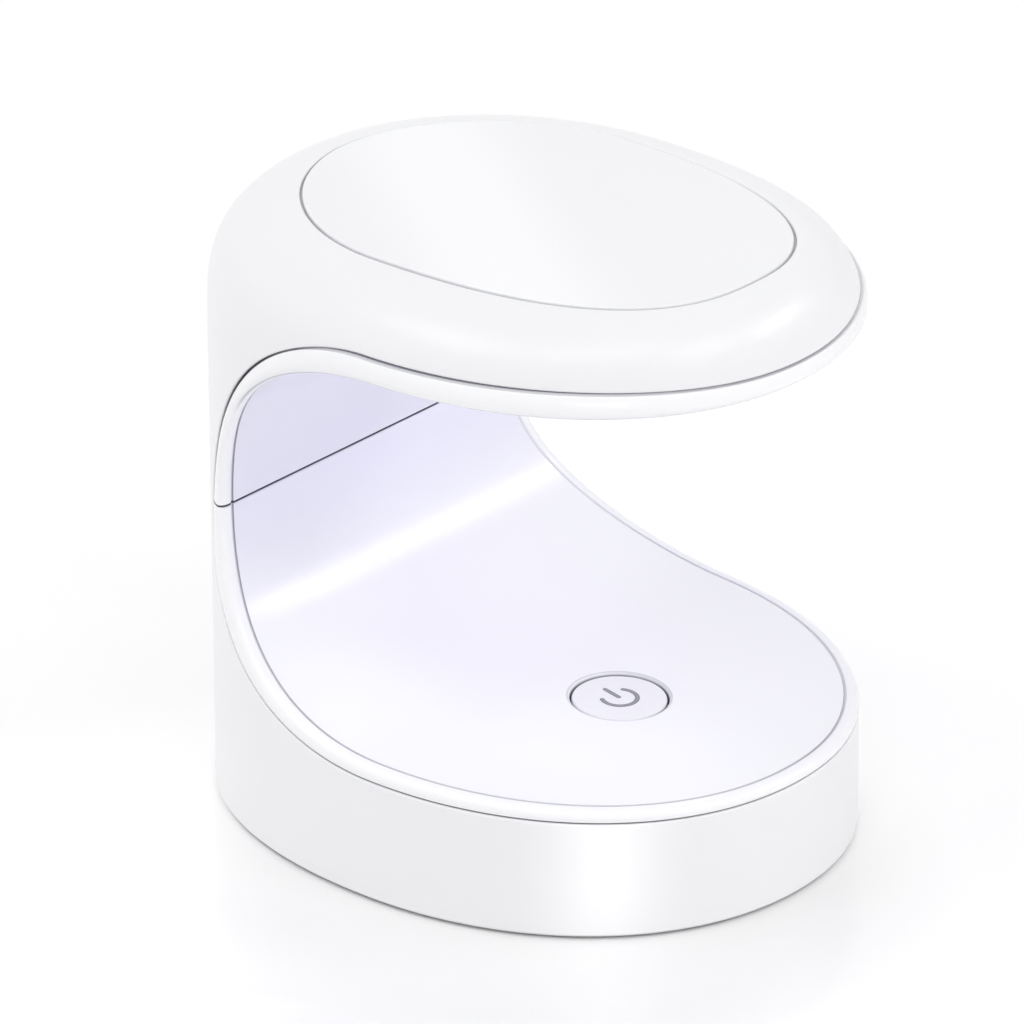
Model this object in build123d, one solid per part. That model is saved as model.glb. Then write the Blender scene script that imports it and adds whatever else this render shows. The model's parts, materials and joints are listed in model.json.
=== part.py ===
from build123d import *
from functools import lru_cache
import math
import os

# Single-finger nail lamp: a C-shaped casing whose domed head shines on a nail laid on the deck.
# Millimetres. The origin is in the middle of the footprint, +Z up, the open mouth towards -Y.

# Footprint of the casing: an egg with its widest line across X
HALF_WIDTH = 30.0
FRONT_LENGTH = 34.7
REAR_LENGTH = 36.7
FRONT_POWER = 2.08
REAR_POWER = 2.2
WIDEST_Y = (FRONT_LENGTH - REAR_LENGTH) / 2
REAR_Y = WIDEST_Y + REAR_LENGTH
OUTLINE_POINTS = 20

# Heights of the stack, from the floor up
FOOT_GAP = 0.5
BASE_EDGE_Z = 13.65
BASE_RIM = 1.0
CAVITY_HEIGHT = 43.85
HEAD_RIM = 3.1
HEAD_HEIGHT = 9.05
SHOULDER_HEIGHT = 13.5
DECK_Z = BASE_EDGE_Z + BASE_RIM
UNDERSIDE_Z = DECK_Z + CAVITY_HEIGHT
HEAD_EDGE_Z = UNDERSIDE_Z + HEAD_RIM
CROWN_Z = UNDERSIDE_Z + HEAD_HEIGHT
SHOULDER_Z = CROWN_Z - SHOULDER_HEIGHT

# Walls and fits
WALL = 1.8
ROOF = 1.6
LINER_WALL = 1.6
FIT = 0.1
SHADOW_GAP = 0.25
SHADOW_DEPTH = 0.8
BOTTOM_CHAMFER = 0.5
OVERLAP = 0.5

# Rounding of the head, from the wall in to the cover
DOME_STEPS = 8
INNER_DOME_STEPS = 5
DOME_INWARD_POWER = 1.66
DOME_UPWARD_POWER = 3.3
DOME_TOP_WALL = 1.4

# Cover let into the top of the head
COVER_HALF_WIDTH = 20.2
COVER_FRONT = 33.3
COVER_REAR = 21.8
COVER_FRONT_POWER = 2.49
COVER_REAR_POWER = 1.9
COVER_WIDEST_Y = WIDEST_Y + 5.7
COVER_THICKNESS = 1.4
COVER_CROWN = 0.3
COVER_GAP = 0.15
COVER_LAND = 0.1
PEG_RADIUS = 1.0
PEG_SHORT = 0.2
PEG_PLACES = [(-9.0, -13.0), (9.0, -13.0), (-7.0, 20.0), (7.0, 20.0)]

# Side curve of the lining: the deck, the hollow of the spine and the underside of the head
SPINE_DEPTH = 12.9
SPINE_Z = 35.5
DECK_REACH_Y = -3.0
DECK_SLOPE = 1.4
DECK_POWER = 2.15
UNDERSIDE_REACH_Y = -4.0
UNDERSIDE_POWER = 2.0

# Side curve of the casing's edge, just outside the rim
EDGE_DEPTH = 9.5
EDGE_Z = 31.5
EDGE_REACH_Y = -2.5
EDGE_POWER = 2.0
EDGE_TIP_POWER = 1.75
CURVE_STEPS = 5
CURVE_NEAR = 0.02
EDGE_SAMPLES = (0.2, 0.5, 0.8)

# Rim of the lining
RIM_INSET = 0.15
RIM_WIDTH = 2.6
RIM_ROUND = 0.8
RIM_TOP_ROUND = 0.5
RIM_LINE_INSET = 1.5
RIM_LINE_WIDTH = 0.22
RIM_LINE_DEPTH = 0.25
SEAM_Z = 35.5

# Power button and its tactile switch
BUTTON_Y = -11.45
BUTTON_HOLE_RADIUS = 5.25
BUTTON_GAP = 0.2
BUTTON_RECESS = 0.2
BUTTON_TRAVEL = 0.4
WELL_BEVEL = 0.4
CAP_THICKNESS = 1.2
CAP_FLANGE = 1.0
CAP_FLANGE_THICKNESS = 0.7
CAP_DEPTH = LINER_WALL + FIT + CAP_FLANGE_THICKNESS - BUTTON_RECESS
CAP_SKIRT = 0.7
CAP_POST_RADIUS = 1.6
CAP_POST_LENGTH = 0.6
CAP_ROUND = 0.25
PLUNGER_RADIUS = 1.7
PLUNGER_LENGTH = 2.0
SWITCH_SIDE = 6.0
SWITCH_GAP = 0.25

# Base cover, feet and their screws
PLATE_LIFT = 0.2
PLATE_THICKNESS = 1.6
FLANGE_THICKNESS = 0.8
FLANGE_OVERLAP = 0.9
FOOT_RADIUS = 4.0
FOOT_POCKET = 0.3
FOOT_CHAMFER = 0.3
FOOT_PLACES = [(-15.5, -20.0), (15.5, -20.0), (-15.0, 22.5), (15.0, 22.5)]
CUP_RADIUS = 3.2
CUP_HEIGHT = 1.9
CUP_FLOOR = 1.6
BOSS_RADIUS = 2.5
BOSS_PLACES = [(-21.0, -13.0), (21.0, -13.0), (-20.0, 15.0), (20.0, 15.0)]
PLATE_Z = FOOT_GAP + PLATE_LIFT
PLATE_TOP_Z = PLATE_Z + PLATE_THICKNESS
LEDGE_Z = PLATE_Z + FLANGE_THICKNESS
CUP_TOP_Z = PLATE_TOP_Z + CUP_HEIGHT

# Screws: shank radius, head radius, head height, length under the head
THREAD_GAP = 0.05
HEAD_GAP = 0.3
BASE_SCREW = (1.1, 2.1, 1.3, 6.5)
SMALL_SCREW = (0.8, 1.6, 1.0, 3.2)
WAFER_SCREW = (0.9, 1.9, 0.9, 4.2)
CROSS_WIDTH = 0.5
CROSS_DEPTH = 0.5

# Main circuit board
BOARD_THICKNESS = 1.0
BOARD_Z = 7.5
BOARD_HALF_WIDTH = 15.0
BOARD_FRONT_Y = -21.0
BOARD_REAR_Y = 24.0
BOARD_CORNER = 3.0
TONGUE_HALF_WIDTH = 6.5
TONGUE_END_Y = REAR_Y - 3.1
BOARD_POST_RADIUS = 2.2
BOARD_POST_PLACES = [(-12.0, -17.5), (12.0, -17.5), (-12.0, 20.0), (12.0, 20.0)]
BOARD_TOP_Z = BOARD_Z + BOARD_THICKNESS

# Parts on the board: x, y, length along x, length along y, height
CHIPS = [
    (-8.0, 3.0, 5.0, 4.0, 1.5),
    (8.0, 7.0, 3.0, 3.0, 1.0),
    (9.0, -3.0, 3.0, 3.0, 1.0),
    (-9.0, 12.0, 5.0, 5.0, 2.4),
    (3.5, 13.0, 2.0, 1.25, 1.2),
    (-2.5, 9.0, 2.0, 1.25, 1.2),
    (9.5, 14.0, 3.2, 1.6, 1.2),
]

# Charging socket at the back of the base
SOCKET_WIDTH = 8.94
SOCKET_HEIGHT = 3.16
SOCKET_LENGTH = 7.3
SOCKET_SHELL = 0.3
SOCKET_SETBACK = 0.8
SOCKET_GAP = 0.28
SOCKET_FLAT = 0.02
SOCKET_TONGUE_WIDTH = 6.2
SOCKET_TONGUE_THICKNESS = 0.7
SOCKET_TONGUE_LENGTH = 4.6

# Cell under the board
CELL_WIDTH = 24.0
CELL_LENGTH = 30.0
CELL_THICKNESS = 3.8
CELL_Y = 1.0
CELL_CORNER = 1.2
TAPE_THICKNESS = 0.3
TAPE_MARGIN = 3.0
RAIL_THICKNESS = 1.0
RAIL_HEIGHT = 2.4
CELL_HEADER = (6.0, 3.0, 2.4)
CELL_HEADER_GAP = 2.6

# Harness from the board to the head
WIRE_RADIUS = 0.55
WIRE_SPACING = 1.5
LED_HEADER = (6.0, 3.4, 3.4)
LED_HEADER_Y = 22.0
HARNESS_DEPTH = 6.2
HARNESS_RISE = 5.0
HARNESS_LEAN = 14.0
HARNESS_TURN = 8.0
HARNESS_DROP = 0.8
HARNESS_LAP = 2.0
HARNESS_BENDS = [4.0, 6.0, 8.0, 8.0, 20.0]

# Emitter board, emitters and window in the head
WINDOW_HALF_WIDTH = 13.0
WINDOW_HALF_LENGTH = 11.0
WINDOW_CORNER = 8.0
WINDOW_LEDGE = 1.5
WINDOW_LIP = 0.8
WINDOW_THICKNESS = 1.2
LAMP_Y = -8.5
LED_BOARD_HALF_WIDTH = 20.0
LED_BOARD_HALF_LENGTH = 12.5
LED_BOARD_CORNER = 8.0
LED_BOARD_THICKNESS = 1.2
LED_BOARD_LIFT = 1.7
LED_SIDE = 3.5
LED_PACKAGE = 0.6
LED_LENS = 0.45
LED_LENS_RADIUS = 1.6
LED_COLUMNS = 3
LED_ROWS = 2
LED_PITCH_X = 8.0
LED_PITCH_Y = 9.0
LED_POST_RADIUS = 2.0
LED_POST_X = 17.0
LED_POST_Y = 7.5
TOP_BOSS_PLACES = [(0.0, -24.2), (-13.0, 12.0), (13.0, 12.0)]
TOP_BOSS_RADIUS = 2.4

# Levels inside the head
RECESS_Z = CROWN_Z - COVER_THICKNESS
ROOF_Z = RECESS_Z - ROOF
LED_BOARD_Z = UNDERSIDE_Z + LINER_WALL + LED_BOARD_LIFT
LED_BOARD_TOP_Z = LED_BOARD_Z + LED_BOARD_THICKNESS
REACH = HALF_WIDTH + 6.0


# Outlines

def egg(half_width, front, rear, front_power, rear_power, widest_y):
    """Egg outline: half a superellipse before its widest line and half another behind it."""
    points = []
    for step in range(OUTLINE_POINTS):
        angle = 2 * math.pi * step / OUTLINE_POINTS
        across, along = math.cos(angle), math.sin(angle)
        length, power = (front, front_power) if along < 0 else (rear, rear_power)
        x = half_width * math.copysign(abs(across) ** (2 / power), across)
        y = widest_y + length * math.copysign(abs(along) ** (2 / power), along)
        points.append((x, y))
    return points


def plan(inset=0.0):
    """Outline of the casing, moved in by inset."""
    return egg(HALF_WIDTH - inset, FRONT_LENGTH - inset, REAR_LENGTH - inset,
               FRONT_POWER, REAR_POWER, WIDEST_Y)


def cover_plan(inset=0.0):
    """Outline of the cover in the top of the head, moved in by inset."""
    return egg(COVER_HALF_WIDTH - inset, COVER_FRONT - inset, COVER_REAR - inset,
               COVER_FRONT_POWER, COVER_REAR_POWER, COVER_WIDEST_Y)


def outline_face(points, z):
    return Pos(0, 0, z) * make_face(Spline(*points, periodic=True))


def prism(points, low, high):
    return extrude(outline_face(points, low), amount=high - low)


def tube(radius, low, high, x=0.0, y=0.0):
    """Upright cylinder between two levels."""
    return Pos(x, y, (low + high) / 2) * Cylinder(radius, high - low)


def plate(half_width, half_length, corner, low, high, y=0.0):
    """Upright plate with rounded corners between two levels."""
    face = Pos(0, y, low) * RectangleRounded(2 * half_width, 2 * half_length, corner)
    return extrude(face, amount=high - low)


def block(size_x, size_y, low, high, x=0.0, y=0.0):
    return Pos(x, y, (low + high) / 2) * Box(size_x, size_y, high - low)


# Side curves

def deck_height(y, out=0.0):
    """Height of the straight part of the deck."""
    return DECK_Z - out + (y - (WIDEST_Y - FRONT_LENGTH)) * math.tan(math.radians(DECK_SLOPE))


def quarter_curve(reach, tip, power, tip_power, slope=0.0):
    """Points of a quarter superellipse from the end of an arm, which may slope, round to the spine's tip."""
    points = []
    for step in range(1, CURVE_STEPS + 1):
        angle = math.pi / 2 * step / (CURVE_STEPS + 1)
        y = reach[0] + (tip[0] - reach[0]) * math.sin(angle) ** (2 / power)
        level = reach[1] + (y - reach[0]) * math.tan(math.radians(slope))
        points.append((y, tip[1] + (level - tip[1]) * math.cos(angle) ** (2 / tip_power)))
    return points


def side_face(start, lower, tip, upper, end, slope):
    """Space in front of a C-shaped side curve, open far beyond the front of the object."""
    front_y = -2 * FRONT_LENGTH
    drop = (start[0] - front_y) * math.tan(math.radians(slope))
    low_corner = (front_y, start[1] - drop)
    high_corner = (front_y, end[1])
    curve = Spline(start, *lower, tip, *upper[::-1], end)
    edges = Line(low_corner, start) + curve + Line(end, high_corner) + Line(high_corner, low_corner)
    return Plane.YZ * make_face(edges)


def cavity_face(out=0.0):
    """Side view of the finger cavity, grown by out into the lining."""
    tip = (REAR_Y - SPINE_DEPTH + out, SPINE_Z)
    start = (DECK_REACH_Y, deck_height(DECK_REACH_Y, out))
    end = (UNDERSIDE_REACH_Y, UNDERSIDE_Z + out)
    lower = quarter_curve(start, tip, DECK_POWER, DECK_POWER, DECK_SLOPE)
    upper = quarter_curve(end, tip, UNDERSIDE_POWER, UNDERSIDE_POWER)
    return side_face(start, lower, tip, upper, end, DECK_SLOPE)


def edge_face(out=0.0):
    """Side view of the opening in the casing, grown by out."""
    tip = (REAR_Y - EDGE_DEPTH + out, EDGE_Z)
    start = (EDGE_REACH_Y, BASE_EDGE_Z - out)
    end = (EDGE_REACH_Y, HEAD_EDGE_Z + out)
    lower = quarter_curve(start, tip, EDGE_POWER, EDGE_POWER)
    upper = quarter_curve(end, tip, EDGE_POWER, EDGE_TIP_POWER)
    return side_face(start, lower, tip, upper, end, 0.0)


def across(face):
    """A side view carried through the whole width."""
    return extrude(face, amount=REACH, both=True)


@lru_cache
def cavity(out=0.0):
    """Finger cavity through the whole width, grown by out into the lining."""
    return across(cavity_face(out))


@lru_cache
def opening(out=0.0):
    """Opening in the casing through the whole width, grown by out."""
    return across(edge_face(out))


def full_block(low, high):
    """Everything between two levels."""
    return block(2 * REACH, 4 * REAR_LENGTH, low, high)


# Fastenings

def levels(z, height):
    """Lower and upper level of something that runs from z by a signed height."""
    return sorted((z, z + height))


def screw(kind, x, y, seat_z, up):
    """Screw with its shank above (up = 1) or below (up = -1) its seat and its head on the other side."""
    shank, head, head_height, length = kind
    face = seat_z - up * head_height
    body = tube(shank, *levels(seat_z, up * length), x, y)
    body += tube(head, *levels(face, up * head_height), x, y)
    for size_x, size_y in ((head, CROSS_WIDTH), (CROSS_WIDTH, head)):
        body -= block(size_x, size_y, *levels(face, up * CROSS_DEPTH), x, y)
    return body


def pilot(kind, x, y, seat_z, up, depth):
    """Hole for a screw's shank, from its seat."""
    return tube(kind[0] + THREAD_GAP, *levels(seat_z, up * depth), x, y)


def group(solids):
    """Separate solids kept in one node."""
    return Compound(children=[solid for part in solids for solid in part.solids()])


# Casing

def blend(wall, top, share):
    """Outline a share of the way from one outline to another with as many points."""
    return [(x + (top_x - x) * share, y + (top_y - y) * share) for (x, y), (top_x, top_y) in zip(wall, top)]


def casing_form(inset, top_inset, drop, steps):
    """Upright wall and rounded head, moved in by inset and with the flat top lowered by drop."""
    height = CROWN_Z - drop - SHOULDER_Z
    wall, top = plan(inset), cover_plan(top_inset)
    rings = []
    for step in range(steps + 1):
        angle = math.pi / 2 * step / steps
        inward = 1 - math.cos(angle) ** (2 / DOME_INWARD_POWER)
        upward = math.sin(angle) ** (2 / DOME_UPWARD_POWER)
        rings.append(outline_face(blend(wall, top, inward), SHOULDER_Z + height * upward))
    return prism(wall, FOOT_GAP, SHOULDER_Z) + loft(rings)


def curve_edges(part, face):
    """Edges of a solid that follow a side curve round its walls."""
    curve = face.faces()[0].outer_wire()
    found = []
    for edge in part.edges().filter_by(Axis.X, reverse=True):
        points = [edge @ share for share in EDGE_SAMPLES]
        if all(curve.distance_to(Vertex(0, point.Y, point.Z)) < CURVE_NEAR for point in points):
            found.append(edge)
    return found


def socket_place():
    """Middle of the charging socket, on the board."""
    return REAR_Y - SOCKET_SETBACK - SOCKET_LENGTH / 2, BOARD_TOP_Z + SOCKET_HEIGHT / 2


def socket_outline(width, height):
    """Stadium outline in the XZ plane."""
    return RectangleRounded(width, height, (height - SOCKET_FLAT) / 2)


def make_outer_shell():
    form = casing_form(0, -COVER_GAP - COVER_LAND, 0, DOME_STEPS)
    form -= prism(cover_plan(-COVER_GAP), RECESS_Z, CROWN_Z + 1)
    form = chamfer(form.edges().group_by(Axis.Z)[0], BOTTOM_CHAMFER) - opening()
    shell = form - casing_form(WALL, DOME_TOP_WALL, COVER_THICKNESS + ROOF, INNER_DOME_STEPS)
    shell -= prism(plan(FLANGE_OVERLAP), 0, LEDGE_Z)
    for x, y in PEG_PLACES:
        shell -= tube(PEG_RADIUS + THREAD_GAP, ROOF_Z - 1, RECESS_Z, x, y)
    for x, y in TOP_BOSS_PLACES:
        shell -= tube(WAFER_SCREW[0] + HEAD_GAP, ROOF_Z - 1, RECESS_Z, x, y)
        shell -= tube(WAFER_SCREW[1] + HEAD_GAP, RECESS_Z - WAFER_SCREW[2], RECESS_Z, x, y)
    y, z = socket_place()
    slot = Plane.XZ * socket_outline(SOCKET_WIDTH + 2 * SOCKET_GAP, SOCKET_HEIGHT + 2 * SOCKET_GAP)
    shell -= Pos(0, y, z) * extrude(slot, amount=-SOCKET_LENGTH)
    return shell


def make_top_panel():
    crown_radius = COVER_FRONT ** 2 / (2 * COVER_CROWN)
    middle_y = COVER_WIDEST_Y + (COVER_REAR - COVER_FRONT) / 2
    panel = prism(cover_plan(COVER_GAP), RECESS_Z, CROWN_Z + COVER_CROWN)
    panel &= Pos(0, middle_y, CROWN_Z + COVER_CROWN - crown_radius) * Sphere(crown_radius)
    for x, y in PEG_PLACES:
        panel += tube(PEG_RADIUS, ROOF_Z + PEG_SHORT, RECESS_Z, x, y)
    return panel


# Lining

def liner_half(low, high):
    """One liner between two levels: the rounded rim at the wall and a thin plate inside it."""
    rim = (prism(plan(RIM_INSET), low, high) & opening()) - cavity()
    rim = fillet(curve_edges(rim, cavity_face()), RIM_ROUND)
    if high > HEAD_EDGE_Z:
        rim = fillet(curve_edges(rim, edge_face()), RIM_TOP_ROUND)
    rim -= prism(plan(RIM_WIDTH), low, high) - cavity(LINER_WALL)
    inner = (prism(plan(WALL + FIT), low, high) & cavity(LINER_WALL)) - cavity()
    gap = (opening() - opening(-SHADOW_GAP)) & full_block(low, high)
    line = prism(plan(RIM_LINE_INSET), low, high) - prism(plan(RIM_LINE_INSET + RIM_LINE_WIDTH), low, high)
    part = rim + inner
    part -= gap - prism(plan(SHADOW_DEPTH), low, high)
    return part - (line & cavity(RIM_LINE_DEPTH))


def behind_plate(posts):
    """Posts trimmed so that they spring from the middle of the lining's plate."""
    return posts - cavity(LINER_WALL / 2)


def make_upper_liner():
    part = liner_half(SEAM_Z, HEAD_EDGE_Z + 1)
    core = prism(plan(SHADOW_DEPTH), SEAM_Z, SEAM_Z + SHADOW_GAP) - cavity(SHADOW_DEPTH)
    part -= full_block(SEAM_Z, SEAM_Z + SHADOW_GAP) - core
    part -= plate(WINDOW_HALF_WIDTH, WINDOW_HALF_LENGTH, WINDOW_CORNER,
                  UNDERSIDE_Z - 1, UNDERSIDE_Z + LINER_WALL + 1, LAMP_Y)
    part -= window_plate(FIT, UNDERSIDE_Z + LINER_WALL + 1)
    for x, y in led_post_places():
        part += tube(LED_POST_RADIUS, UNDERSIDE_Z + LINER_WALL / 2, LED_BOARD_Z, x, y)
        part -= pilot(SMALL_SCREW, x, y, LED_BOARD_Z, -1, SMALL_SCREW[3] - LED_BOARD_THICKNESS + THREAD_GAP)
    for x, y in TOP_BOSS_PLACES:
        part += behind_plate(tube(TOP_BOSS_RADIUS, SEAM_Z + LINER_WALL, ROOF_Z, x, y))
        part -= pilot(WAFER_SCREW, x, y, ROOF_Z, -1, WAFER_SCREW[3] - ROOF + WAFER_SCREW[2] + THREAD_GAP)
    return part


def make_lower_liner():
    part = liner_half(FOOT_GAP, SEAM_Z)
    for x, y in BOSS_PLACES:
        part += behind_plate(tube(BOSS_RADIUS, CUP_TOP_Z, SEAM_Z, x, y))
        part -= pilot(BASE_SCREW, x, y, CUP_TOP_Z, 1, BASE_SCREW[3] - CUP_FLOOR + THREAD_GAP)
    for x, y in BOARD_POST_PLACES:
        part += behind_plate(tube(BOARD_POST_RADIUS, BOARD_TOP_Z, SEAM_Z, x, y))
        part -= pilot(SMALL_SCREW, x, y, BOARD_TOP_Z, 1, SMALL_SCREW[3] - BOARD_THICKNESS + THREAD_GAP)
    place = button_plane()
    part -= place * Cylinder(BUTTON_HOLE_RADIUS, 8 * LINER_WALL)
    bevel = Cone(BUTTON_HOLE_RADIUS, BUTTON_HOLE_RADIUS + WELL_BEVEL, WELL_BEVEL)
    part -= place * Pos(0, 0, -WELL_BEVEL / 2) * bevel
    return part


# Button and switch

def button_plane():
    """Plane of the deck at the button, with its Z axis out of the deck."""
    slope = math.radians(DECK_SLOPE)
    origin = (0, BUTTON_Y, deck_height(BUTTON_Y))
    return Plane(origin=origin, x_dir=(1, 0, 0), z_dir=(0, -math.sin(slope), math.cos(slope)))


def make_button_cap():
    radius = BUTTON_HOLE_RADIUS - BUTTON_GAP
    top, bottom = -BUTTON_RECESS, -BUTTON_RECESS - CAP_DEPTH
    cap = tube(radius, bottom, top)
    cap = fillet(cap.edges().filter_by(GeomType.CIRCLE).sort_by(Axis.Z)[-1], CAP_ROUND)
    cap += tube(radius + CAP_FLANGE, bottom, bottom + CAP_FLANGE_THICKNESS)
    cap -= tube(radius - CAP_SKIRT, bottom, top - CAP_THICKNESS)
    cap += tube(CAP_POST_RADIUS, top - CAP_THICKNESS - CAP_POST_LENGTH, top - CAP_THICKNESS)
    return button_plane() * cap


def plunger_levels():
    """Lowest and highest level of the plunger along the button's axis."""
    top = -BUTTON_RECESS - CAP_THICKNESS - CAP_POST_LENGTH
    return top - PLUNGER_LENGTH, top


def make_switch_plunger():
    return button_plane() * tube(PLUNGER_RADIUS, *plunger_levels())


def make_switch_body():
    deck = deck_height(BUTTON_Y)
    top = deck - BUTTON_RECESS - CAP_DEPTH - BUTTON_TRAVEL - SWITCH_GAP
    low, high = plunger_levels()
    bore_floor = deck + low - 2 * BUTTON_TRAVEL
    body = block(SWITCH_SIDE, SWITCH_SIDE, BOARD_TOP_Z, top, 0, BUTTON_Y)
    return body - tube(PLUNGER_RADIUS + SWITCH_GAP, bore_floor, deck, 0, BUTTON_Y)


# Base cover

def make_base_plate():
    part = prism(plan(FLANGE_OVERLAP + FIT), PLATE_Z, LEDGE_Z) + prism(plan(WALL + FIT), LEDGE_Z, PLATE_TOP_Z)
    for x, y in FOOT_PLACES:
        part -= tube(FOOT_RADIUS + FIT, 0, PLATE_Z + FOOT_POCKET, x, y)
    for x, y in BOSS_PLACES:
        part += tube(CUP_RADIUS, PLATE_Z, CUP_TOP_Z, x, y)
        part -= tube(BASE_SCREW[1] + HEAD_GAP, 0, CUP_TOP_Z - CUP_FLOOR, x, y)
        part -= tube(BASE_SCREW[0] + HEAD_GAP / 2, 0, CUP_TOP_Z, x, y)
    for side in (-1, 1):
        x = side * (CELL_WIDTH / 2 + FIT + RAIL_THICKNESS / 2)
        low, high = PLATE_TOP_Z - OVERLAP, PLATE_TOP_Z + RAIL_HEIGHT
        part += block(RAIL_THICKNESS, CELL_LENGTH, low, high, x, CELL_Y)
    return part


def make_rubber_feet():
    feet = []
    for x, y in FOOT_PLACES:
        foot = tube(FOOT_RADIUS, 0, PLATE_Z + FOOT_POCKET, x, y)
        feet.append(chamfer(foot.edges().filter_by(GeomType.CIRCLE).sort_by(Axis.Z)[0], FOOT_CHAMFER))
    return group(feet)


def make_base_screws():
    return group([screw(BASE_SCREW, x, y, CUP_TOP_Z - CUP_FLOOR, 1) for x, y in BOSS_PLACES])


# Electronics in the base

def make_main_board():
    length = BOARD_REAR_Y - BOARD_FRONT_Y
    middle = (BOARD_REAR_Y + BOARD_FRONT_Y) / 2
    board = plate(BOARD_HALF_WIDTH, length / 2, BOARD_CORNER, BOARD_Z, BOARD_TOP_Z, middle)
    tongue = TONGUE_END_Y - BOARD_REAR_Y + BOARD_CORNER
    board += block(2 * TONGUE_HALF_WIDTH, tongue, BOARD_Z, BOARD_TOP_Z, 0, TONGUE_END_Y - tongue / 2)
    for x, y in BOARD_POST_PLACES:
        board -= tube(SMALL_SCREW[0] + HEAD_GAP / 2, BOARD_Z, BOARD_TOP_Z, x, y)
    return board


def make_board_chips():
    return group([block(size_x, size_y, BOARD_TOP_Z, BOARD_TOP_Z + height, x, y)
                  for x, y, size_x, size_y, height in CHIPS])


def make_board_screws():
    return group([screw(SMALL_SCREW, x, y, BOARD_Z, 1) for x, y in BOARD_POST_PLACES])


def socket_body(width, height):
    return extrude(Plane.XZ * socket_outline(width, height), amount=SOCKET_LENGTH / 2, both=True)


def make_charging_socket():
    y, z = socket_place()
    inside = socket_body(SOCKET_WIDTH - 2 * SOCKET_SHELL, SOCKET_HEIGHT - 2 * SOCKET_SHELL)
    shell = socket_body(SOCKET_WIDTH, SOCKET_HEIGHT) - Pos(0, SOCKET_SHELL, 0) * inside
    tongue_y = (SOCKET_TONGUE_LENGTH - SOCKET_LENGTH) / 2
    shell += Pos(0, tongue_y, 0) * Box(SOCKET_TONGUE_WIDTH, SOCKET_TONGUE_LENGTH, SOCKET_TONGUE_THICKNESS)
    return Pos(0, y, z) * shell


def make_battery_cell():
    low = PLATE_TOP_Z + TAPE_THICKNESS
    cell = block(CELL_WIDTH, CELL_LENGTH, low, low + CELL_THICKNESS, 0, CELL_Y)
    return fillet(cell.edges().filter_by(Axis.Y), CELL_CORNER)


def make_battery_tape():
    return block(CELL_WIDTH - TAPE_MARGIN, CELL_LENGTH - TAPE_MARGIN,
                 PLATE_TOP_Z, PLATE_TOP_Z + TAPE_THICKNESS, 0, CELL_Y)


def make_battery_header():
    size_x, size_y, height = CELL_HEADER
    y = CELL_Y + CELL_LENGTH / 2 + CELL_HEADER_GAP + size_y / 2
    return block(size_x, size_y, BOARD_Z - height, BOARD_Z, 0, y)


def make_battery_leads():
    low = CELL_Y + CELL_LENGTH / 2
    z = PLATE_TOP_Z + TAPE_THICKNESS + CELL_THICKNESS - CELL_CORNER
    wires = []
    for side in (-1, 1):
        x = side * WIRE_SPACING / 2
        wires.append(wire(Line((x, low, z), (x, low + CELL_HEADER_GAP, z))))
    return group(wires)


def wire(path):
    """Round wire along a path."""
    return sweep(Plane(origin=path @ 0, z_dir=path % 0) * Circle(WIRE_RADIUS), path=path)


def make_led_header():
    size_x, size_y, height = LED_HEADER
    return block(size_x, size_y, BOARD_TOP_Z, BOARD_TOP_Z + height, 0, LED_HEADER_Y)


def make_led_harness():
    """Two wires from the board's header, up the spine and over the lining to the emitter board."""
    header_z = BOARD_TOP_Z + LED_HEADER[2]
    spine_y = REAR_Y - HARNESS_DEPTH
    top_z = LED_BOARD_TOP_Z + WIRE_RADIUS + FIT / 2
    end_y = LAMP_Y + LED_BOARD_HALF_LENGTH - HARNESS_LAP
    route = [
        (LED_HEADER_Y, header_z),
        (LED_HEADER_Y, header_z + HARNESS_RISE),
        (spine_y, header_z + HARNESS_LEAN),
        (spine_y, UNDERSIDE_Z - HARNESS_TURN),
        (spine_y - HARNESS_TURN, top_z - HARNESS_DROP),
        (end_y + HARNESS_TURN, top_z),
        (end_y, top_z),
    ]
    wires = []
    for side in (-1, 1):
        points = [(side * WIRE_SPACING / 2, y, z) for y, z in route]
        wires.append(wire(FilletPolyline(*points, radius=HARNESS_BENDS)))
    return group(wires)


# Electronics in the head

def led_post_places():
    return [(side * LED_POST_X, LAMP_Y + end * LED_POST_Y) for side in (-1, 1) for end in (-1, 1)]


def window_plate(grow, top_z):
    """Window's outline from its ledge up to a level."""
    return plate(WINDOW_HALF_WIDTH + WINDOW_LEDGE + grow, WINDOW_HALF_LENGTH + WINDOW_LEDGE + grow,
                 WINDOW_CORNER + WINDOW_LEDGE, UNDERSIDE_Z + WINDOW_LIP, top_z, LAMP_Y)


def make_led_window():
    return window_plate(0, UNDERSIDE_Z + WINDOW_LIP + WINDOW_THICKNESS)


def make_led_board():
    board = plate(LED_BOARD_HALF_WIDTH, LED_BOARD_HALF_LENGTH, LED_BOARD_CORNER,
                  LED_BOARD_Z, LED_BOARD_TOP_Z, LAMP_Y)
    for x, y in led_post_places():
        board -= tube(SMALL_SCREW[0] + HEAD_GAP / 2, LED_BOARD_Z, LED_BOARD_TOP_Z, x, y)
    return board


def make_uv_leds():
    """Square packages on the underside of the board, each with a shallow round lens."""
    leds = []
    for column in range(LED_COLUMNS):
        for row in range(LED_ROWS):
            x = (column - (LED_COLUMNS - 1) / 2) * LED_PITCH_X
            y = LAMP_Y + (row - (LED_ROWS - 1) / 2) * LED_PITCH_Y
            package_z = LED_BOARD_Z - LED_PACKAGE
            ball = (LED_LENS_RADIUS ** 2 + LED_LENS ** 2) / (2 * LED_LENS)
            lens = Pos(x, y, package_z - LED_LENS + ball) * Sphere(ball)
            lens &= block(LED_SIDE, LED_SIDE, package_z - LED_LENS, package_z, x, y)
            leds.append(block(LED_SIDE, LED_SIDE, package_z, LED_BOARD_Z, x, y) + lens)
    return group(leds)


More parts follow.
